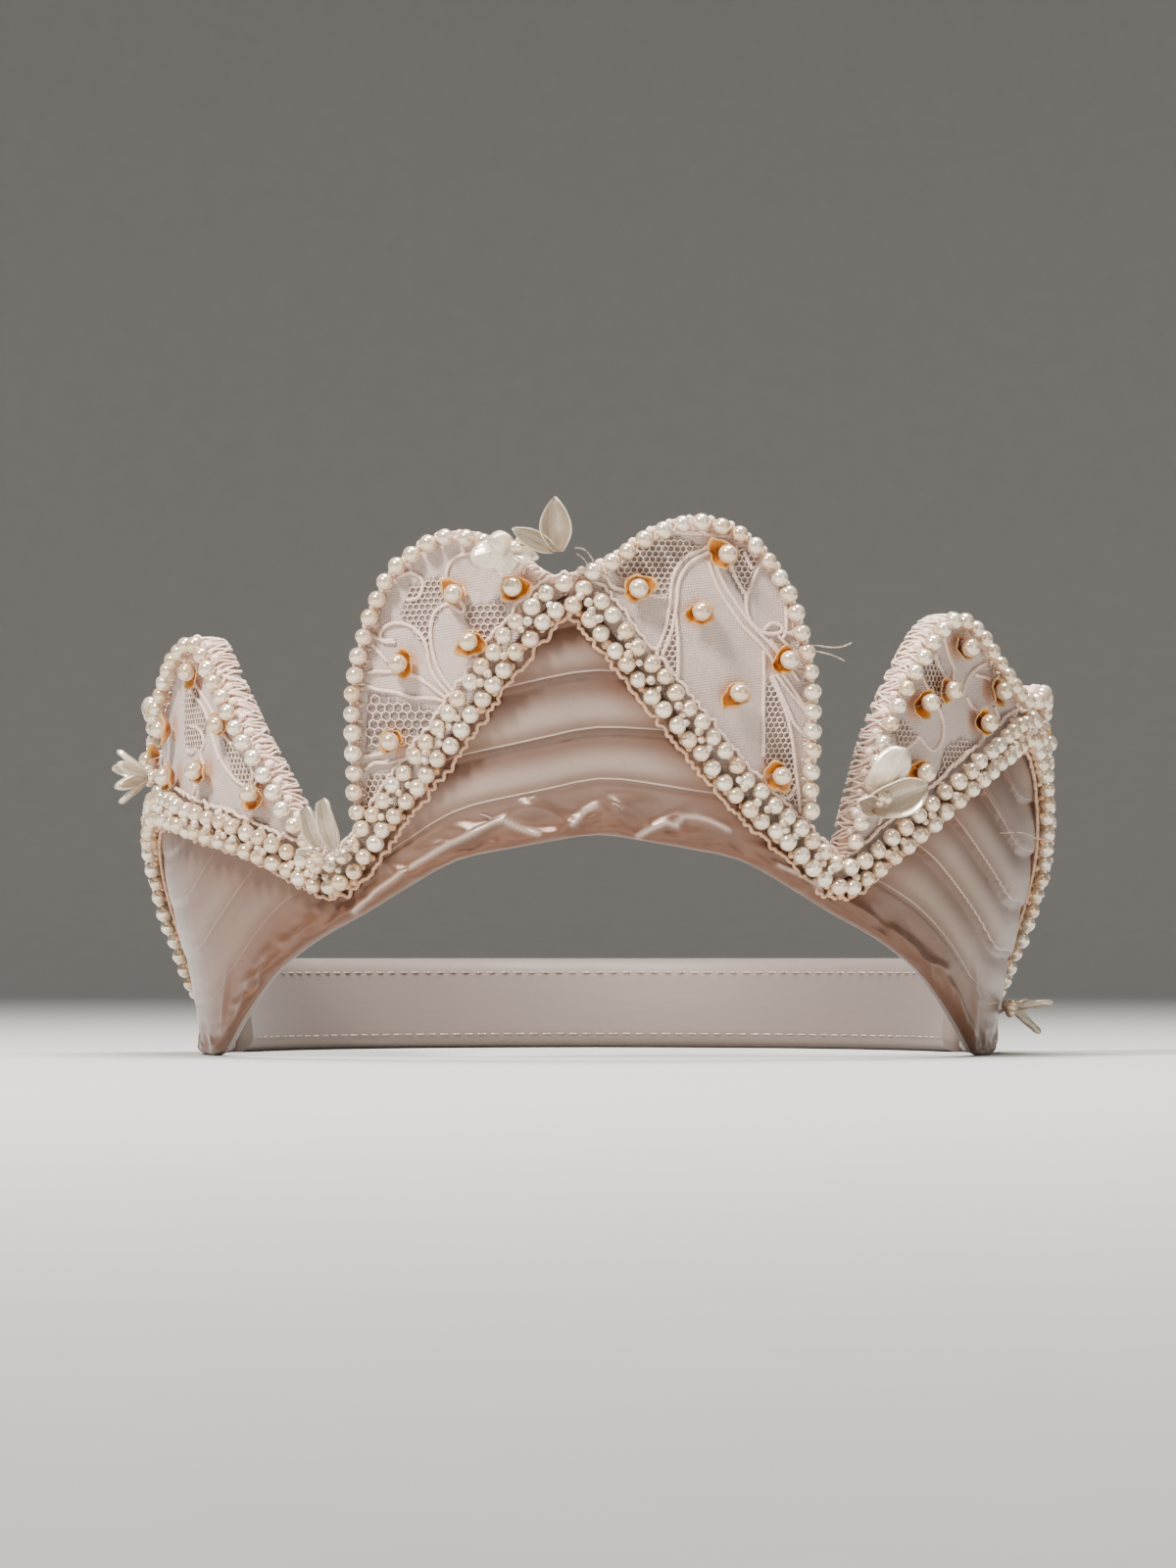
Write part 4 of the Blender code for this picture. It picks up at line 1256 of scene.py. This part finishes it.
def net_routes(lobe):
    """Short threads of a net with six-sided holes, over the lobe's open patches."""
    outline = evenly(outline_points(lobe), 60)
    polygon = lobe_polygon(lobe)
    routes = []
    for patch, pitch in patches_of(lobe):
        side = pitch / math.sqrt(3.0)
        low_x, high_x = min(p.x for p in patch), max(p.x for p in patch)
        low_y, high_y = min(p.y for p in patch), max(p.y for p in patch)
        for row in range(int((high_y - low_y) / (1.5 * side)) + 2):
            for column in range(int((high_x - low_x) / pitch) + 2):
                middle = Vector((low_x + (column + 0.5 * (row % 2)) * pitch, low_y + row * 1.5 * side))
                for turn in (30.0, 90.0, 150.0):
                    ends = []
                    for step in (0.0, 60.0):
                        way = math.radians(turn + step)
                        ends.append(middle + side * Vector((math.cos(way), math.sin(way))))
                    if all(inside(patch, point) and inside(polygon, point) for point in ends):
                        rim = rim_distance(outline, ends[0])
                        out = face_out(rim) + net_lift
                        routes.append([over_cloth(point, out) for point in ends])
    return routes


def cord_routes(lobe):
    """The lobe's raised cords, lying on its face."""
    lender = dict(LENT_LACE).get(lobe, lobe)
    outline = evenly(outline_points(lobe), 60)
    polygon = lobe_polygon(lobe)
    routes = []
    for owner, sheet, points in CORDS:
        if owner != lender:
            continue
        route = []
        for point in rounded_route(lace_points(lobe, lender, sheet, points), 6):
            if inside(polygon, point):
                rim = rim_distance(outline, point)
                angle, height = rolled(point)
                wobble = 0.00008 * noise.noise(Vector((point.x / 0.0015, point.y / 0.0015, 1.0)))
                route.append(ring_point(angle, height + wobble, face_out(rim) + cord_lift))
        if len(route) > 2:
            routes.append(route)
    return routes


def rim_routes(lobe, seed):
    """Lace gathered over a lobe's edge: looped threads from its face over the rim to its back."""
    dice = random.Random(seed)
    outline = outline_points(lobe)
    count = max(8, int(route_length(outline) / rim_pitch))
    points = evenly(outline, count)
    inwards = -1.0 if CORNER_ANGLES[LOBES[lobe][1]] > CORNER_ANGLES[LOBES[lobe][0]] else 1.0
    routes = []
    for index in range(1, count):
        along = (points[index + 1 if index < count else index] - points[index - 1]).normalized()
        side = Vector((-along.y, along.x)) * inwards
        lean = dice.uniform(-0.0018, 0.0018)
        depth = dice.uniform(0.0006, 0.0022)
        lift = dice.uniform(0.0, 0.00045)
        section = ((depth, 0.0001), (0.0002, 0.0000), (-0.00012, -0.0012),
                   (-0.00012, -0.0030), (0.0002, -0.0042), (depth, -0.0043))
        route = []
        for step, (deep, out) in enumerate(section):
            sway = lean * (step - 2.5) / 2.5 + dice.uniform(-0.00035, 0.00035)
            flat = points[index] + side * deep + along * sway
            route.append(over_cloth(flat, out + (rim_lift + (lift if out > -0.001 else 0.0))))
        routes.append(rounded_route(route, 3))
    return routes


class CROWN_OT_lace(bpy.types.Operator):
    """Makes the six lobes with their net, raised cords and wrapped edges"""

    bl_idname = "crown.lace"
    bl_label = "Lace lobes"

    def execute(self, context):
        sizes = context.scene.crown_sizes
        for lobe in range(len(LOBES)):
            patches = [patch for patch, _ in patches_of(lobe)]
            wall = lobe_wall(lobe, patches)
            mesh_piece("lobe_cloth_%d" % lobe, wall, "lace_cloth",
                                 ["lace_lobe_%d" % lobe])
            threads_piece("lobe_net_%d" % lobe, net_routes(lobe), sizes.net_thread / 2.0, 3,
                          "lace_net")
            threads_piece("lobe_cords_%d" % lobe, cord_routes(lobe), sizes.lace_cord / 2.0, 8,
                          "lace_cord")
            threads_piece("lobe_edge_lace_%d" % lobe, rim_routes(lobe, 40 + lobe),
                          sizes.edge_thread / 2.0, 5, "lace_cord")
        return {"FINISHED"}


# Pearls


def bead(dice, angle, height, out, radius, tint=None):
    """A bead's place, radii, turn and tint; moulded beads are a little uneven."""
    uneven = [radius * dice.uniform(0.965, 1.03) for _ in range(3)]
    turn = [dice.uniform(0.0, 2.0 * math.pi) for _ in range(3)]
    return ring_point(angle, height, out), uneven, turn, dice.random() if tint is None else tint


def joint_flat_route():
    start, end = CORNER_ANGLES[0] + 1.2, CORNER_ANGLES[-1] - 1.2
    steps = 900
    return [unrolled(start + (end - start) * step / steps,
                     joint_height(start + (end - start) * step / steps)) for step in range(steps + 1)]


class CROWN_OT_pearls(bpy.types.Operator):
    """Strings the two-row rope along the joint and the single rows along the lobes"""

    bl_idname = "crown.pearls"
    bl_label = "Pearl rows"

    def execute(self, context):
        sizes = context.scene.crown_sizes
        radius = sizes.pearl / 2.0
        seat = pearl_seat + pearl_across / 2.0
        route = joint_flat_route()
        seeds = []
        dice = random.Random(7)
        for name, side, node in (("rope_pearls_upper", 0.5, "pearl_rope_upper"),
                                 ("rope_pearls_lower", -0.5, "pearl_rope_lower")):
            row = shifted(route, side * sizes.rope_spacing)
            count = round(route_length(row) / sizes.pearl_pitch)
            points = evenly(row, 2 * count)
            offset = 0 if side > 0.0 else 1
            beads = []
            for step in range(offset, len(points), 2):
                point = points[step] + nudge(dice, rope_jitter)
                beads.append(bead(dice, *rolled(point), seat + dice.uniform(-0.0002, 0.0003),
                                  radius * dice.uniform(0.94, 1.03)))
            beads_piece(name, beads, 12, 8, "faux_pearl", [node])
        count = round(route_length(route) / seed_pitch)
        for point in evenly(route, count):
            for side in (dice.choice((-1.0, 1.0)), -1.0, 0.0):
                if dice.random() < (0.35 if side == 0.0 else 0.25):
                    continue
                spread = side * (sizes.rope_spacing / 2.0 + 0.0015 * dice.uniform(0.7, 1.15))
                place = point + Vector((dice.uniform(-0.0007, 0.0007), spread * 0.92))
                out = dice.uniform(0.0024, 0.0030) if side == 0.0 else dice.uniform(0.0006, 0.0012)
                tint = dice.uniform(0.0, 0.35) if side < 0.0 else dice.uniform(0.5, 1.0)
                seeds.append(bead(dice, *rolled(place), out,
                                  seed_radius * dice.uniform(0.8, 1.2), tint))
        beads_piece("rope_seed_beads", seeds, 9, 6, "seed_bead")
        cords = []
        for offset, wave in ((0.0035, 0.00022), (-0.0033, 0.00030)):
            row = shifted(route, offset)
            points = evenly(row, round(route_length(row) / gimp_pitch))
            along = shifted(points, 1.0)
            line = []
            for step, point in enumerate(points):
                sway = (along[step] - point) * wave * 2.6 * noise.noise(Vector((step * 0.37, offset, 0.5)))
                line.append(over_cloth(point + sway, gimp_lift))
            cords.append(line)
        threads_piece("rope_gimp_upper", cords[:1], gimp_upper_radius, 6, "lace_cord")
        threads_piece("rope_gimp_lower", cords[1:], gimp_lower_radius, 6, "rope_cord")
        knots = []
        for lobe, (valley, peak, _, _, stop) in enumerate(LOBES):
            start, end = CORNER_ANGLES[valley], CORNER_ANGLES[peak]
            inwards = -1.0 if end > start else 1.0
            row = shifted(outline_points(lobe), inwards * edge_inset)
            kept = []
            for point in row:
                angle, height = rolled(point)
                clear = height - joint_height(angle) > edge_clear
                if clear and (angle - start) / (end - start) <= stop:
                    kept.append(point)
            count = round(route_length(kept) / sizes.edge_pitch)
            rim = shifted(evenly(kept, 2 * count), -inwards * 0.0008)
            for point in rim[1::2]:
                knots.append(bead(dice, *rolled(point), dice.uniform(-0.0004, 0.0004),
                                  knot_radius * dice.uniform(0.8, 1.25), 1.0))
            beads = []
            for point in evenly(kept, count):
                moved = point + nudge(dice, edge_jitter)
                beads.append(bead(dice, *rolled(moved), seat + dice.uniform(-0.00025, 0.0001),
                                  radius * dice.uniform(0.94, 1.02)))
            beads_piece("edge_pearls_%d" % lobe, beads, 12, 8, "faux_pearl",
                        ["pearl_edge_%d" % lobe])
        beads_piece("edge_knots", knots, 8, 5, "lace_cord")
        return {"FINISHED"}


# Sewn sequins


def ring_seat(angle, height, out):
    """A frame on the ring: x along the cloth, y upwards and z away from it."""
    return (Matrix.Translation(ring_point(angle, height, out))
            @ Matrix(ring_axes(angle, height)).transposed().to_4x4())


def sewn_names():
    return sorted(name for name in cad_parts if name.startswith("sewn_pearl_"))


def place_of_node(name):
    """The angle and height of a small node on the ring."""
    low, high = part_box(name)
    middle = (Vector(low) + Vector(high)) / 2.0 - MIDDLE
    angle = math.degrees(math.atan2(middle.x, -middle.y))
    return angle, middle.z


def cup_shell(dice, seat, radius):
    """A cupped sequin, curled and worn out of round: corners, faces, and shares from heart to rim."""
    rings, turns = 5, 18
    wave, depth = dice.uniform(0.0, whole_turn), dice.uniform(0.28, 0.46)
    curl = dice.uniform(0.20, 0.55)
    corners, shares = [], []
    for wall in (0.00012, -0.00012):
        corners.append(seat @ Vector((0.0, 0.0, wall)))
        shares.append(0.0)
        for ring in range(1, rings + 1):
            far = ring / rings
            for turn in range(turns):
                way = 2.0 * math.pi * turn / turns
                ragged = 1.0 + 0.12 * math.sin(3.0 * way + wave) + 0.06 * math.sin(7.0 * way + wave * 2.0)
                x, y = far * math.cos(way) * ragged, far * math.sin(way) * ragged * 0.76
                rise = depth * far ** 2 + curl * 0.5 * x * x + 0.07 * math.sin(5.0 * way + wave) * far
                corners.append(seat @ (Vector((x, y, rise)) * radius + Vector((0.0, 0.0, wall))))
                shares.append(far)
    shell = 1 + rings * turns
    faces = []
    for turn in range(turns):
        after = (turn + 1) % turns
        faces.append((0, 1 + turn, 1 + after))
        faces.append((shell, shell + 1 + after, shell + 1 + turn))
        for ring in range(rings - 1):
            near, far = 1 + ring * turns, 1 + (ring + 1) * turns
            faces.append((near + turn, far + turn, far + after, near + after))
            faces.append((shell + near + turn, shell + near + after, shell + far + after,
                          shell + far + turn))
        rim = 1 + (rings - 1) * turns
        faces.append((rim + turn, shell + rim + turn, shell + rim + after, rim + after))
    return corners, faces, shares


def joined(shells, name, key):
    """Several closed shells as one mesh, with a value for each corner kept."""
    corners, faces, values = [], [], []
    for points, sides, numbers in shells:
        first = len(corners)
        corners.extend(points)
        faces.extend(tuple(first + index for index in side) for side in sides)
        values.extend(numbers)
    return closed_mesh(name, corners, faces, {key: values})


class CROWN_OT_sequins(bpy.types.Operator):
    """Sews the amber cup sequins and their pearls on the lobes"""

    bl_idname = "crown.sequins"
    bl_label = "Cup sequins"

    def execute(self, context):
        sizes = context.scene.crown_sizes
        dice = random.Random(21)
        cups, beads, stitches = [], [], []
        for name in sewn_names():
            angle, height = place_of_node(name)
            seat = (ring_seat(angle, height, cup_seat)
                    @ Matrix.Rotation(dice.uniform(0.0, whole_turn), 4, "Z")
                    @ Matrix.Rotation(math.radians(dice.uniform(-14.0, 14.0)), 4, "X"))
            cups.append(cup_shell(dice, seat, sizes.cup / 2.0 * dice.uniform(0.92, 1.12)))
            lean = Vector((dice.uniform(-0.2, 0.7), dice.uniform(-0.35, 0.45))) * millimetre
            flat = unrolled(angle, height) + lean
            beads.append(bead(dice, *rolled(flat), cup_pearl_out, sizes.pearl / 2.0 * 1.05,
                              dice.uniform(0.5, 1.0)))
            turn = dice.uniform(0.0, whole_turn)
            reach = Vector((math.cos(turn), math.sin(turn))) * cup_stitch_length
            ends = (flat - reach, flat - reach * 0.5, flat)
            lift = (0.0001, 0.0012, 0.0038)
            stitches.append(rounded_route(
                [over_cloth(point, far) for point, far in zip(ends, lift)], 3))
        mesh_piece("amber_cups", joined(cups, "amber_cups", "from_heart"), "aged_amber",
                   sewn_names())
        beads_piece("sewn_pearls", beads, 14, 9, "faux_pearl")
        threads_piece("sewn_stitches", stitches, pearl_stitch_radius, 4, "sewing_thread")
        return {"FINISHED"}


# Wax flowers


def petal_point(form, across, along, length, width):
    """A petal's surface: across from -1 to 1, along from 0 at the root to 1 at the tip."""
    fullness, cup, bend = {
        "slender": (0.62, 0.55, 0.12), "leaf": (0.80, 0.85, 0.06), "loop": (0.36, 1.15, 0.03),
        "cup": (0.55, 0.95, 0.10), "shell": (0.46, -0.55, 0.02), "knob": (0.44, -0.95, -0.10),
    }[form]
    breadth = math.sin(math.pi * min(1.0, along * 0.93 + 0.07)) ** fullness
    if form == "slender":
        breadth *= 0.72 + 0.28 * along
    half = width / 2.0 * max(breadth, 0.04)
    ripple = 0.05 * width * math.sin(9.0 * along + 2.0 * across) * across ** 2
    depth = cup * half * (across * across - 0.35) + bend * length * along * along + ripple
    if cup < 0.0:
        depth += 0.10 * width * math.sin(math.pi * along) - 0.04 * width * abs(across) ** 0.5
    return Vector((half * across, length * along, depth))


def petal_shell(form, length, width, tone, seat):
    """A petal's closed shell with a rolled rim: corners, faces, and places on the petal."""
    columns, rows = 14, 18
    corners, places = [], []
    for side in (1.0, -1.0):
        for column in range(columns + 1):
            across = math.sin(math.pi * (column / columns - 0.5))
            for row in range(rows + 1):
                along = row / rows
                point = petal_point(form, across, along, length, width)
                edge = min(1.0 - abs(across), 1.0 - along)
                roll = math.exp(-((edge - 0.10) / 0.09) ** 2)
                wall = (0.00022 + 0.00020 * roll) * edge_round(edge, 0.06)
                point.z += side * wall
                corners.append(seat @ point)
                places.append((across, along, tone))
    return corners, wall_faces(columns, rows), places


class CROWN_OT_flowers(bpy.types.Operator):
    """Models the pearlised wax petals and their small hearts"""

    bl_idname = "crown.flowers"
    bl_label = "Wax flowers"

    def execute(self, context):
        dice = random.Random(5)
        hearts, stems = [], []
        for node, angle, share, rows_below, petals in FLOWERS:
            height = crown_height * share
            out = pearl_seat + rows_below * (pearl_seat + pearl_across) + flower_core_radius
            seat = ring_seat(angle, height, out)
            hearts.append(bead(dice, angle, height, out - pearl_seat, flower_core_radius * 0.85, 0.8))
            stems.append([ring_point(angle, height - 0.0012, -0.0003),
                          ring_point(angle, height - 0.0006, out / 2.0), seat.to_translation()])
            shells = []
            for sideways, up, turn, lift, length, width, form, tone in petals:
                turned = (seat @ Matrix.Translation((sideways, up, 0.0))
                          @ Matrix.Rotation(math.radians(-turn), 4, "Z")
                          @ Matrix.Rotation(math.radians(lift), 4, "X"))
                shells.append(petal_shell(form, length, width, tone, turned))
                if math.hypot(sideways, up) > 0.0005:
                    stems.append([seat @ Vector((0.0, 0.0, -0.0006)),
                                  seat @ Vector((sideways * 0.5, up * 0.5, -0.0007)),
                                  turned @ Vector((0.0, 0.0003, -0.0002))])
            mesh_piece(node.replace("wax_", "petals_"), joined(shells, node, "petal_place"),
                       "pearlised_wax", [node])
            for _ in range(4):
                flat = unrolled(angle, height) + nudge(dice, heart_spread)
                hearts.append(bead(dice, *rolled(flat), out + dice.uniform(0.0, 0.0006),
                                   heart_radius * dice.uniform(0.85, 1.2), 0.8))
        beads_piece("flower_hearts", hearts, 12, 8, "faux_pearl")
        threads_piece("flower_stems", [rounded_route(stem, 4) for stem in stems], stem_radius, 6,
                      "sewing_thread")
        glass = []
        for across, down, radius in GLASS_BEADS:
            place = photo_place(across, down, 0.0025)
            flat = unrolled(*place)
            on_rope = abs(place[1] - joint_height(place[0])) < 0.0034
            if not on_rope and not any(inside(lobe_polygon(lobe), flat) for lobe in range(len(LOBES))):
                continue
            for lift in (0.0, 1.7):
                glass.append(bead(dice, *place, 0.0009 + lift * radius, radius, 0.85))
        beads_piece("flower_glass_beads", glass, 12, 8, "seed_bead")
        return {"FINISHED"}


# Loose ends of thread: the photograph's pixels and how far out they stand, in millimetres
LOOSE_ENDS = (
    ((700, 350, 0.3), (707, 350, 1.8), (712, 351, 2.6), (717, 351, 3.2), (722, 349, 3.4)),
    ((700, 352, 0.3), (707, 353, 2.0), (713, 355, 2.9), (719, 358, 3.2)),
    ((804, 446, 0.3), (810, 446, 2.2), (815, 449, 3.0), (821, 450, 3.2)),
    ((585, 300, 2.2), (590, 301, 3.0), (594, 306, 2.8), (597, 313, 1.8)),
    ((586, 303, 2.0), (590, 306, 2.6), (593, 312, 1.8)),
    ((603, 430, 0.2), (606, 431, 1.0), (609, 433, 1.0), (611, 435, 0.2)),
    ((536, 436, 0.2), (540, 437, 0.8), (544, 439, 0.2)),
)


class CROWN_OT_threads(bpy.types.Operator):
    """Adds the short loose ends of sewing thread"""

    bl_idname = "crown.threads"
    bl_label = "Loose threads"

    def execute(self, context):
        routes = []
        for pixels in LOOSE_ENDS:
            points = [ring_point(*photo_place(across, down), out * millimetre)
                      for across, down, out in pixels]
            routes.append(rounded_route(points, 4))
        threads_piece("loose_threads", routes, loose_thread_radius, 5, "sewing_thread")

        def inside_face(thickness):
            return lambda angle, height: panel_swell(angle, height) - thickness

        stitches = []
        steps = 220
        turn = (CORNER_ANGLES[-1] - CORNER_ANGLES[0] - 3.0) / steps
        angles = [CORNER_ANGLES[0] + 1.5 + turn * step for step in range(steps + 1)]
        hem = [unrolled(angle, foot_height(angle) + 0.0024) for angle in angles]
        stitches += stitches_along(hem, inside_face(satin_thickness), -0.00016)
        for side, thickness in ((0.0025, lobe_thickness), (-0.0025, satin_thickness)):
            line = [unrolled(angle, joint_height(angle) + side) for angle in angles]
            stitches += stitches_along(line, lambda angle, height: -thickness - 0.00038, -0.00014)
        start, end = CORNER_ANGLES[-1] + 2.0, 358.0 + CORNER_ANGLES[0]
        for line in BAND_SEAMS:
            row = [unrolled(start + (end - start) * step / steps, line) for step in range(steps + 1)]
            stitches += stitches_along(row, band_gather, 0.00022)
            stitches += stitches_along(row, lambda angle, height: -back_band_thickness, -0.00014)
        threads_piece("running_stitches", stitches, stitch_radius, 5, "sewing_thread")
        return {"FINISHED"}


# Stage


def area_light(name, place, aim, size, power, tint):
    data = bpy.data.lights.new(name, "AREA")
    data.shape = "DISK"
    data.size = size
    data.energy = power
    data.color = tint
    light = bpy.data.objects.new(name, data)
    light.location = place
    light.rotation_euler = (Vector(aim) - Vector(place)).to_track_quat("-Z", "Y").to_euler()
    bpy.context.scene.collection.objects.link(light)


class CROWN_OT_stage(bpy.types.Operator):
    """Sets the pale floor, the soft lights and the camera at the photograph's angle"""

    bl_idname = "crown.stage"
    bl_label = "Stage"

    def execute(self, context):
        mesh = bpy.data.meshes.new("floor")
        reach, bend, rise, turns = 2.4, 0.8, 1.5, 64
        profile = [(0.6, 0.0), (reach - bend, 0.0)]
        profile += [(reach - bend + bend * math.sin(math.radians(turn)),
                     bend - bend * math.cos(math.radians(turn))) for turn in range(10, 91, 10)]
        profile += [(reach, rise)]
        corners = [(0.0, 0.0, 0.0)]
        for radius, z in profile:
            corners += [(radius * math.cos(2.0 * math.pi * turn / turns),
                         radius * math.sin(2.0 * math.pi * turn / turns), z) for turn in range(turns)]
        faces = [(0, 1 + turn, 1 + (turn + 1) % turns) for turn in range(turns)]
        for ring in range(len(profile) - 1):
            first = 1 + ring * turns
            faces += [(first + turn, first + turns + turn, first + turns + (turn + 1) % turns,
                       first + (turn + 1) % turns) for turn in range(turns)]
        mesh.from_pydata(corners, [], faces)
        mesh.shade_smooth()
        floor = bpy.data.objects.new("floor", mesh)
        context.scene.collection.objects.link(floor)
        material, tree, shader, place = new_finish("pale_paper")
        grain = tree.noise(place, 90.0, 4.0)
        base = tree.mix(grain, (0.50, 0.49, 0.47), (0.55, 0.54, 0.52))
        settle(tree, shader, base, 0.85, grain, 0.1, 0.0005)
        mesh.materials.append(material)

        world = bpy.data.worlds.new("studio")
        context.scene.world = world
        world.use_nodes = True
        background = world.node_tree.nodes["Background"]
        background.inputs["Color"].default_value = (0.86, 0.85, 0.84, 1.0)
        background.inputs["Strength"].default_value = 0.16
        crown = (0.0, -0.03, 0.05)
        area_light("key", (-0.34, -0.50, 0.62), crown, 0.16, 13.0, (1.0, 0.96, 0.91))
        area_light("fill", (0.60, -0.70, 0.22), crown, 0.50, 1.0, (1.0, 0.97, 0.94))
        area_light("top", (0.05, -0.06, 0.78), crown, 0.50, 15.0, (1.0, 0.98, 0.95))

        camera = bpy.data.cameras.new("photo_camera")
        camera.sensor_fit = "HORIZONTAL"
        camera.sensor_width = 36.0
        camera.lens = camera.sensor_width * photo_camera_distance / view_width
        camera.clip_start = 0.02
        eye = bpy.data.objects.new("photo_camera", camera)
        eye.location = (0.0, cad_low[1] - photo_camera_distance, photo_camera_height + 0.004)
        aim = Vector((0.0, cad_low[1], 0.044))
        eye.rotation_euler = (aim - eye.location).to_track_quat("-Z", "Y").to_euler()
        context.scene.collection.objects.link(eye)
        context.scene.camera = eye
        return {"FINISHED"}


# Settings


def length_property(name, description, default):
    return bpy.props.FloatProperty(
        name=name, description=description, default=default, unit="LENGTH")


class CrownSizes(bpy.types.PropertyGroup):
    """Sizes that a maker would change."""

    pearl: length_property("Pearl", "Diameter of the faux pearls", 0.0030)
    pearl_pitch: length_property("Rope pitch", "Distance between pearls of the rope", 0.00315)
    edge_pitch: length_property("Edge pitch", "Distance between pearls on the lobes", 0.00325)
    rope_spacing: length_property("Rope rows", "Distance between the rope's two rows", 0.0031)
    pleat_pitch: length_property("Pleat pitch", "Distance between the satin's pleats", 0.0087)
    pleat_depth: length_property("Pleat depth", "Step from one pleat to the next", 0.0011)
    net_thread: length_property("Net thread", "Thickness of the net's threads", 0.00024)
    lace_cord: length_property("Lace cord", "Thickness of the raised cords", 0.00062)
    edge_thread: length_property("Edge thread", "Thickness of the lace over the edges", 0.00042)
    cup: length_property("Cup sequin", "Diameter of the cup sequins", 0.0051)


def shade_property(name, description, hex_text):
    return bpy.props.FloatVectorProperty(
        name=name, description=description, default=colour(hex_text), subtype="COLOR", min=0.0, max=1.0)


class CrownLooks(bpy.types.PropertyGroup):
    """Colours of the crown's cloth, beads and wax."""

    satin: shade_property("Satin", "Lit satin", "7C6255")
    satin_shade: shade_property("Satin shade", "Satin in its folds", "5F4334")
    # Painted highlight of the pleat edges, the middle of each pleat and the hem ridges
    satin_painted_highlight: shade_property("Satin light", "Edges of the pleats", "E4CFC2")
    # Painted brown shade under the rope and along the hem, and a brown stain
    satin_brown_shade_and_stain: shade_property("Satin stain", "Yellowed satin under the rope", "65391B")
    lining: shade_property("Lining", "Lining inside the crown", "7C6F68")
    lace: shade_property("Lace cloth", "Dense ground of the lace", "D6C2B9")
    lace_shade: shade_property("Lace shade", "Ground seen through the net", "70605A")
    cord: shade_property("Lace cord", "Raised cords", "FAE4D6")
    cord_shade: shade_property("Cord shade", "Grooves of the cords", "DDBEAA")
    pearl: shade_property("Pearl", "Body of the pearls", "F4E6D0")
    pearl_light: shade_property("Pearl light", "Milky clouds on the pearls", "FBF3E6")
    pearl_warm: shade_property("Pearl warm", "Worn and yellowed pearls", "DAB68C")
    seed: shade_property("Seed bead", "Small peach beads", "CC9868")
    glass: shade_property("Glass bead", "Small clear beads", "A08E7A")
    amber: shade_property("Amber", "Cup sequins", "C87C2C")
    amber_light: shade_property("Amber light", "Thin edges of the sequins", "E0B478")
    # Aged brown blotches, and the painted shadow at each sequin's heart
    amber_burnt_and_shadow: shade_property("Amber burnt", "Aged brown of the sequins", "6A2E04")
    wax: shade_property("Wax", "Pearlised wax", "CCBFAA")
    wax_light: shade_property("Wax light", "Polished wax", "E8DCC8")
    # Yellowed wax, and the painted shade at the petals' roots
    wax_shade: shade_property("Wax shade", "Yellowed wax", "8E7860")


STEPS = ("satin", "lace", "pearls", "sequins", "flowers", "threads", "stage")


class CROWN_PT_panel(bpy.types.Panel):
    """Lists the crown's sizes, colours and steps"""

    bl_label = "Veil crown"
    bl_idname = "CROWN_PT_panel"
    bl_space_type = "VIEW_3D"
    bl_region_type = "UI"
    bl_category = "Veil crown"

    def draw(self, context):
        for settings in (context.scene.crown_sizes, context.scene.crown_looks):
            for name in settings.__annotations__:
                self.layout.prop(settings, name)
        for step in STEPS:
            self.layout.operator("crown." + step)


CLASSES = (
    CrownSizes, CrownLooks, CROWN_OT_satin, CROWN_OT_lace, CROWN_OT_pearls, CROWN_OT_sequins,
    CROWN_OT_flowers, CROWN_OT_threads, CROWN_OT_stage, CROWN_PT_panel,
)


def register():
    for item in CLASSES:
        bpy.utils.register_class(item)
    bpy.types.Scene.crown_sizes = bpy.props.PointerProperty(type=CrownSizes)
    bpy.types.Scene.crown_looks = bpy.props.PointerProperty(type=CrownLooks)


def unregister():
    del bpy.types.Scene.crown_looks
    del bpy.types.Scene.crown_sizes
    for item in reversed(CLASSES):
        bpy.utils.unregister_class(item)


def main():
    register()
    for step in STEPS:
        getattr(bpy.ops.crown, step)()


if __name__ == "__main__":
    main()
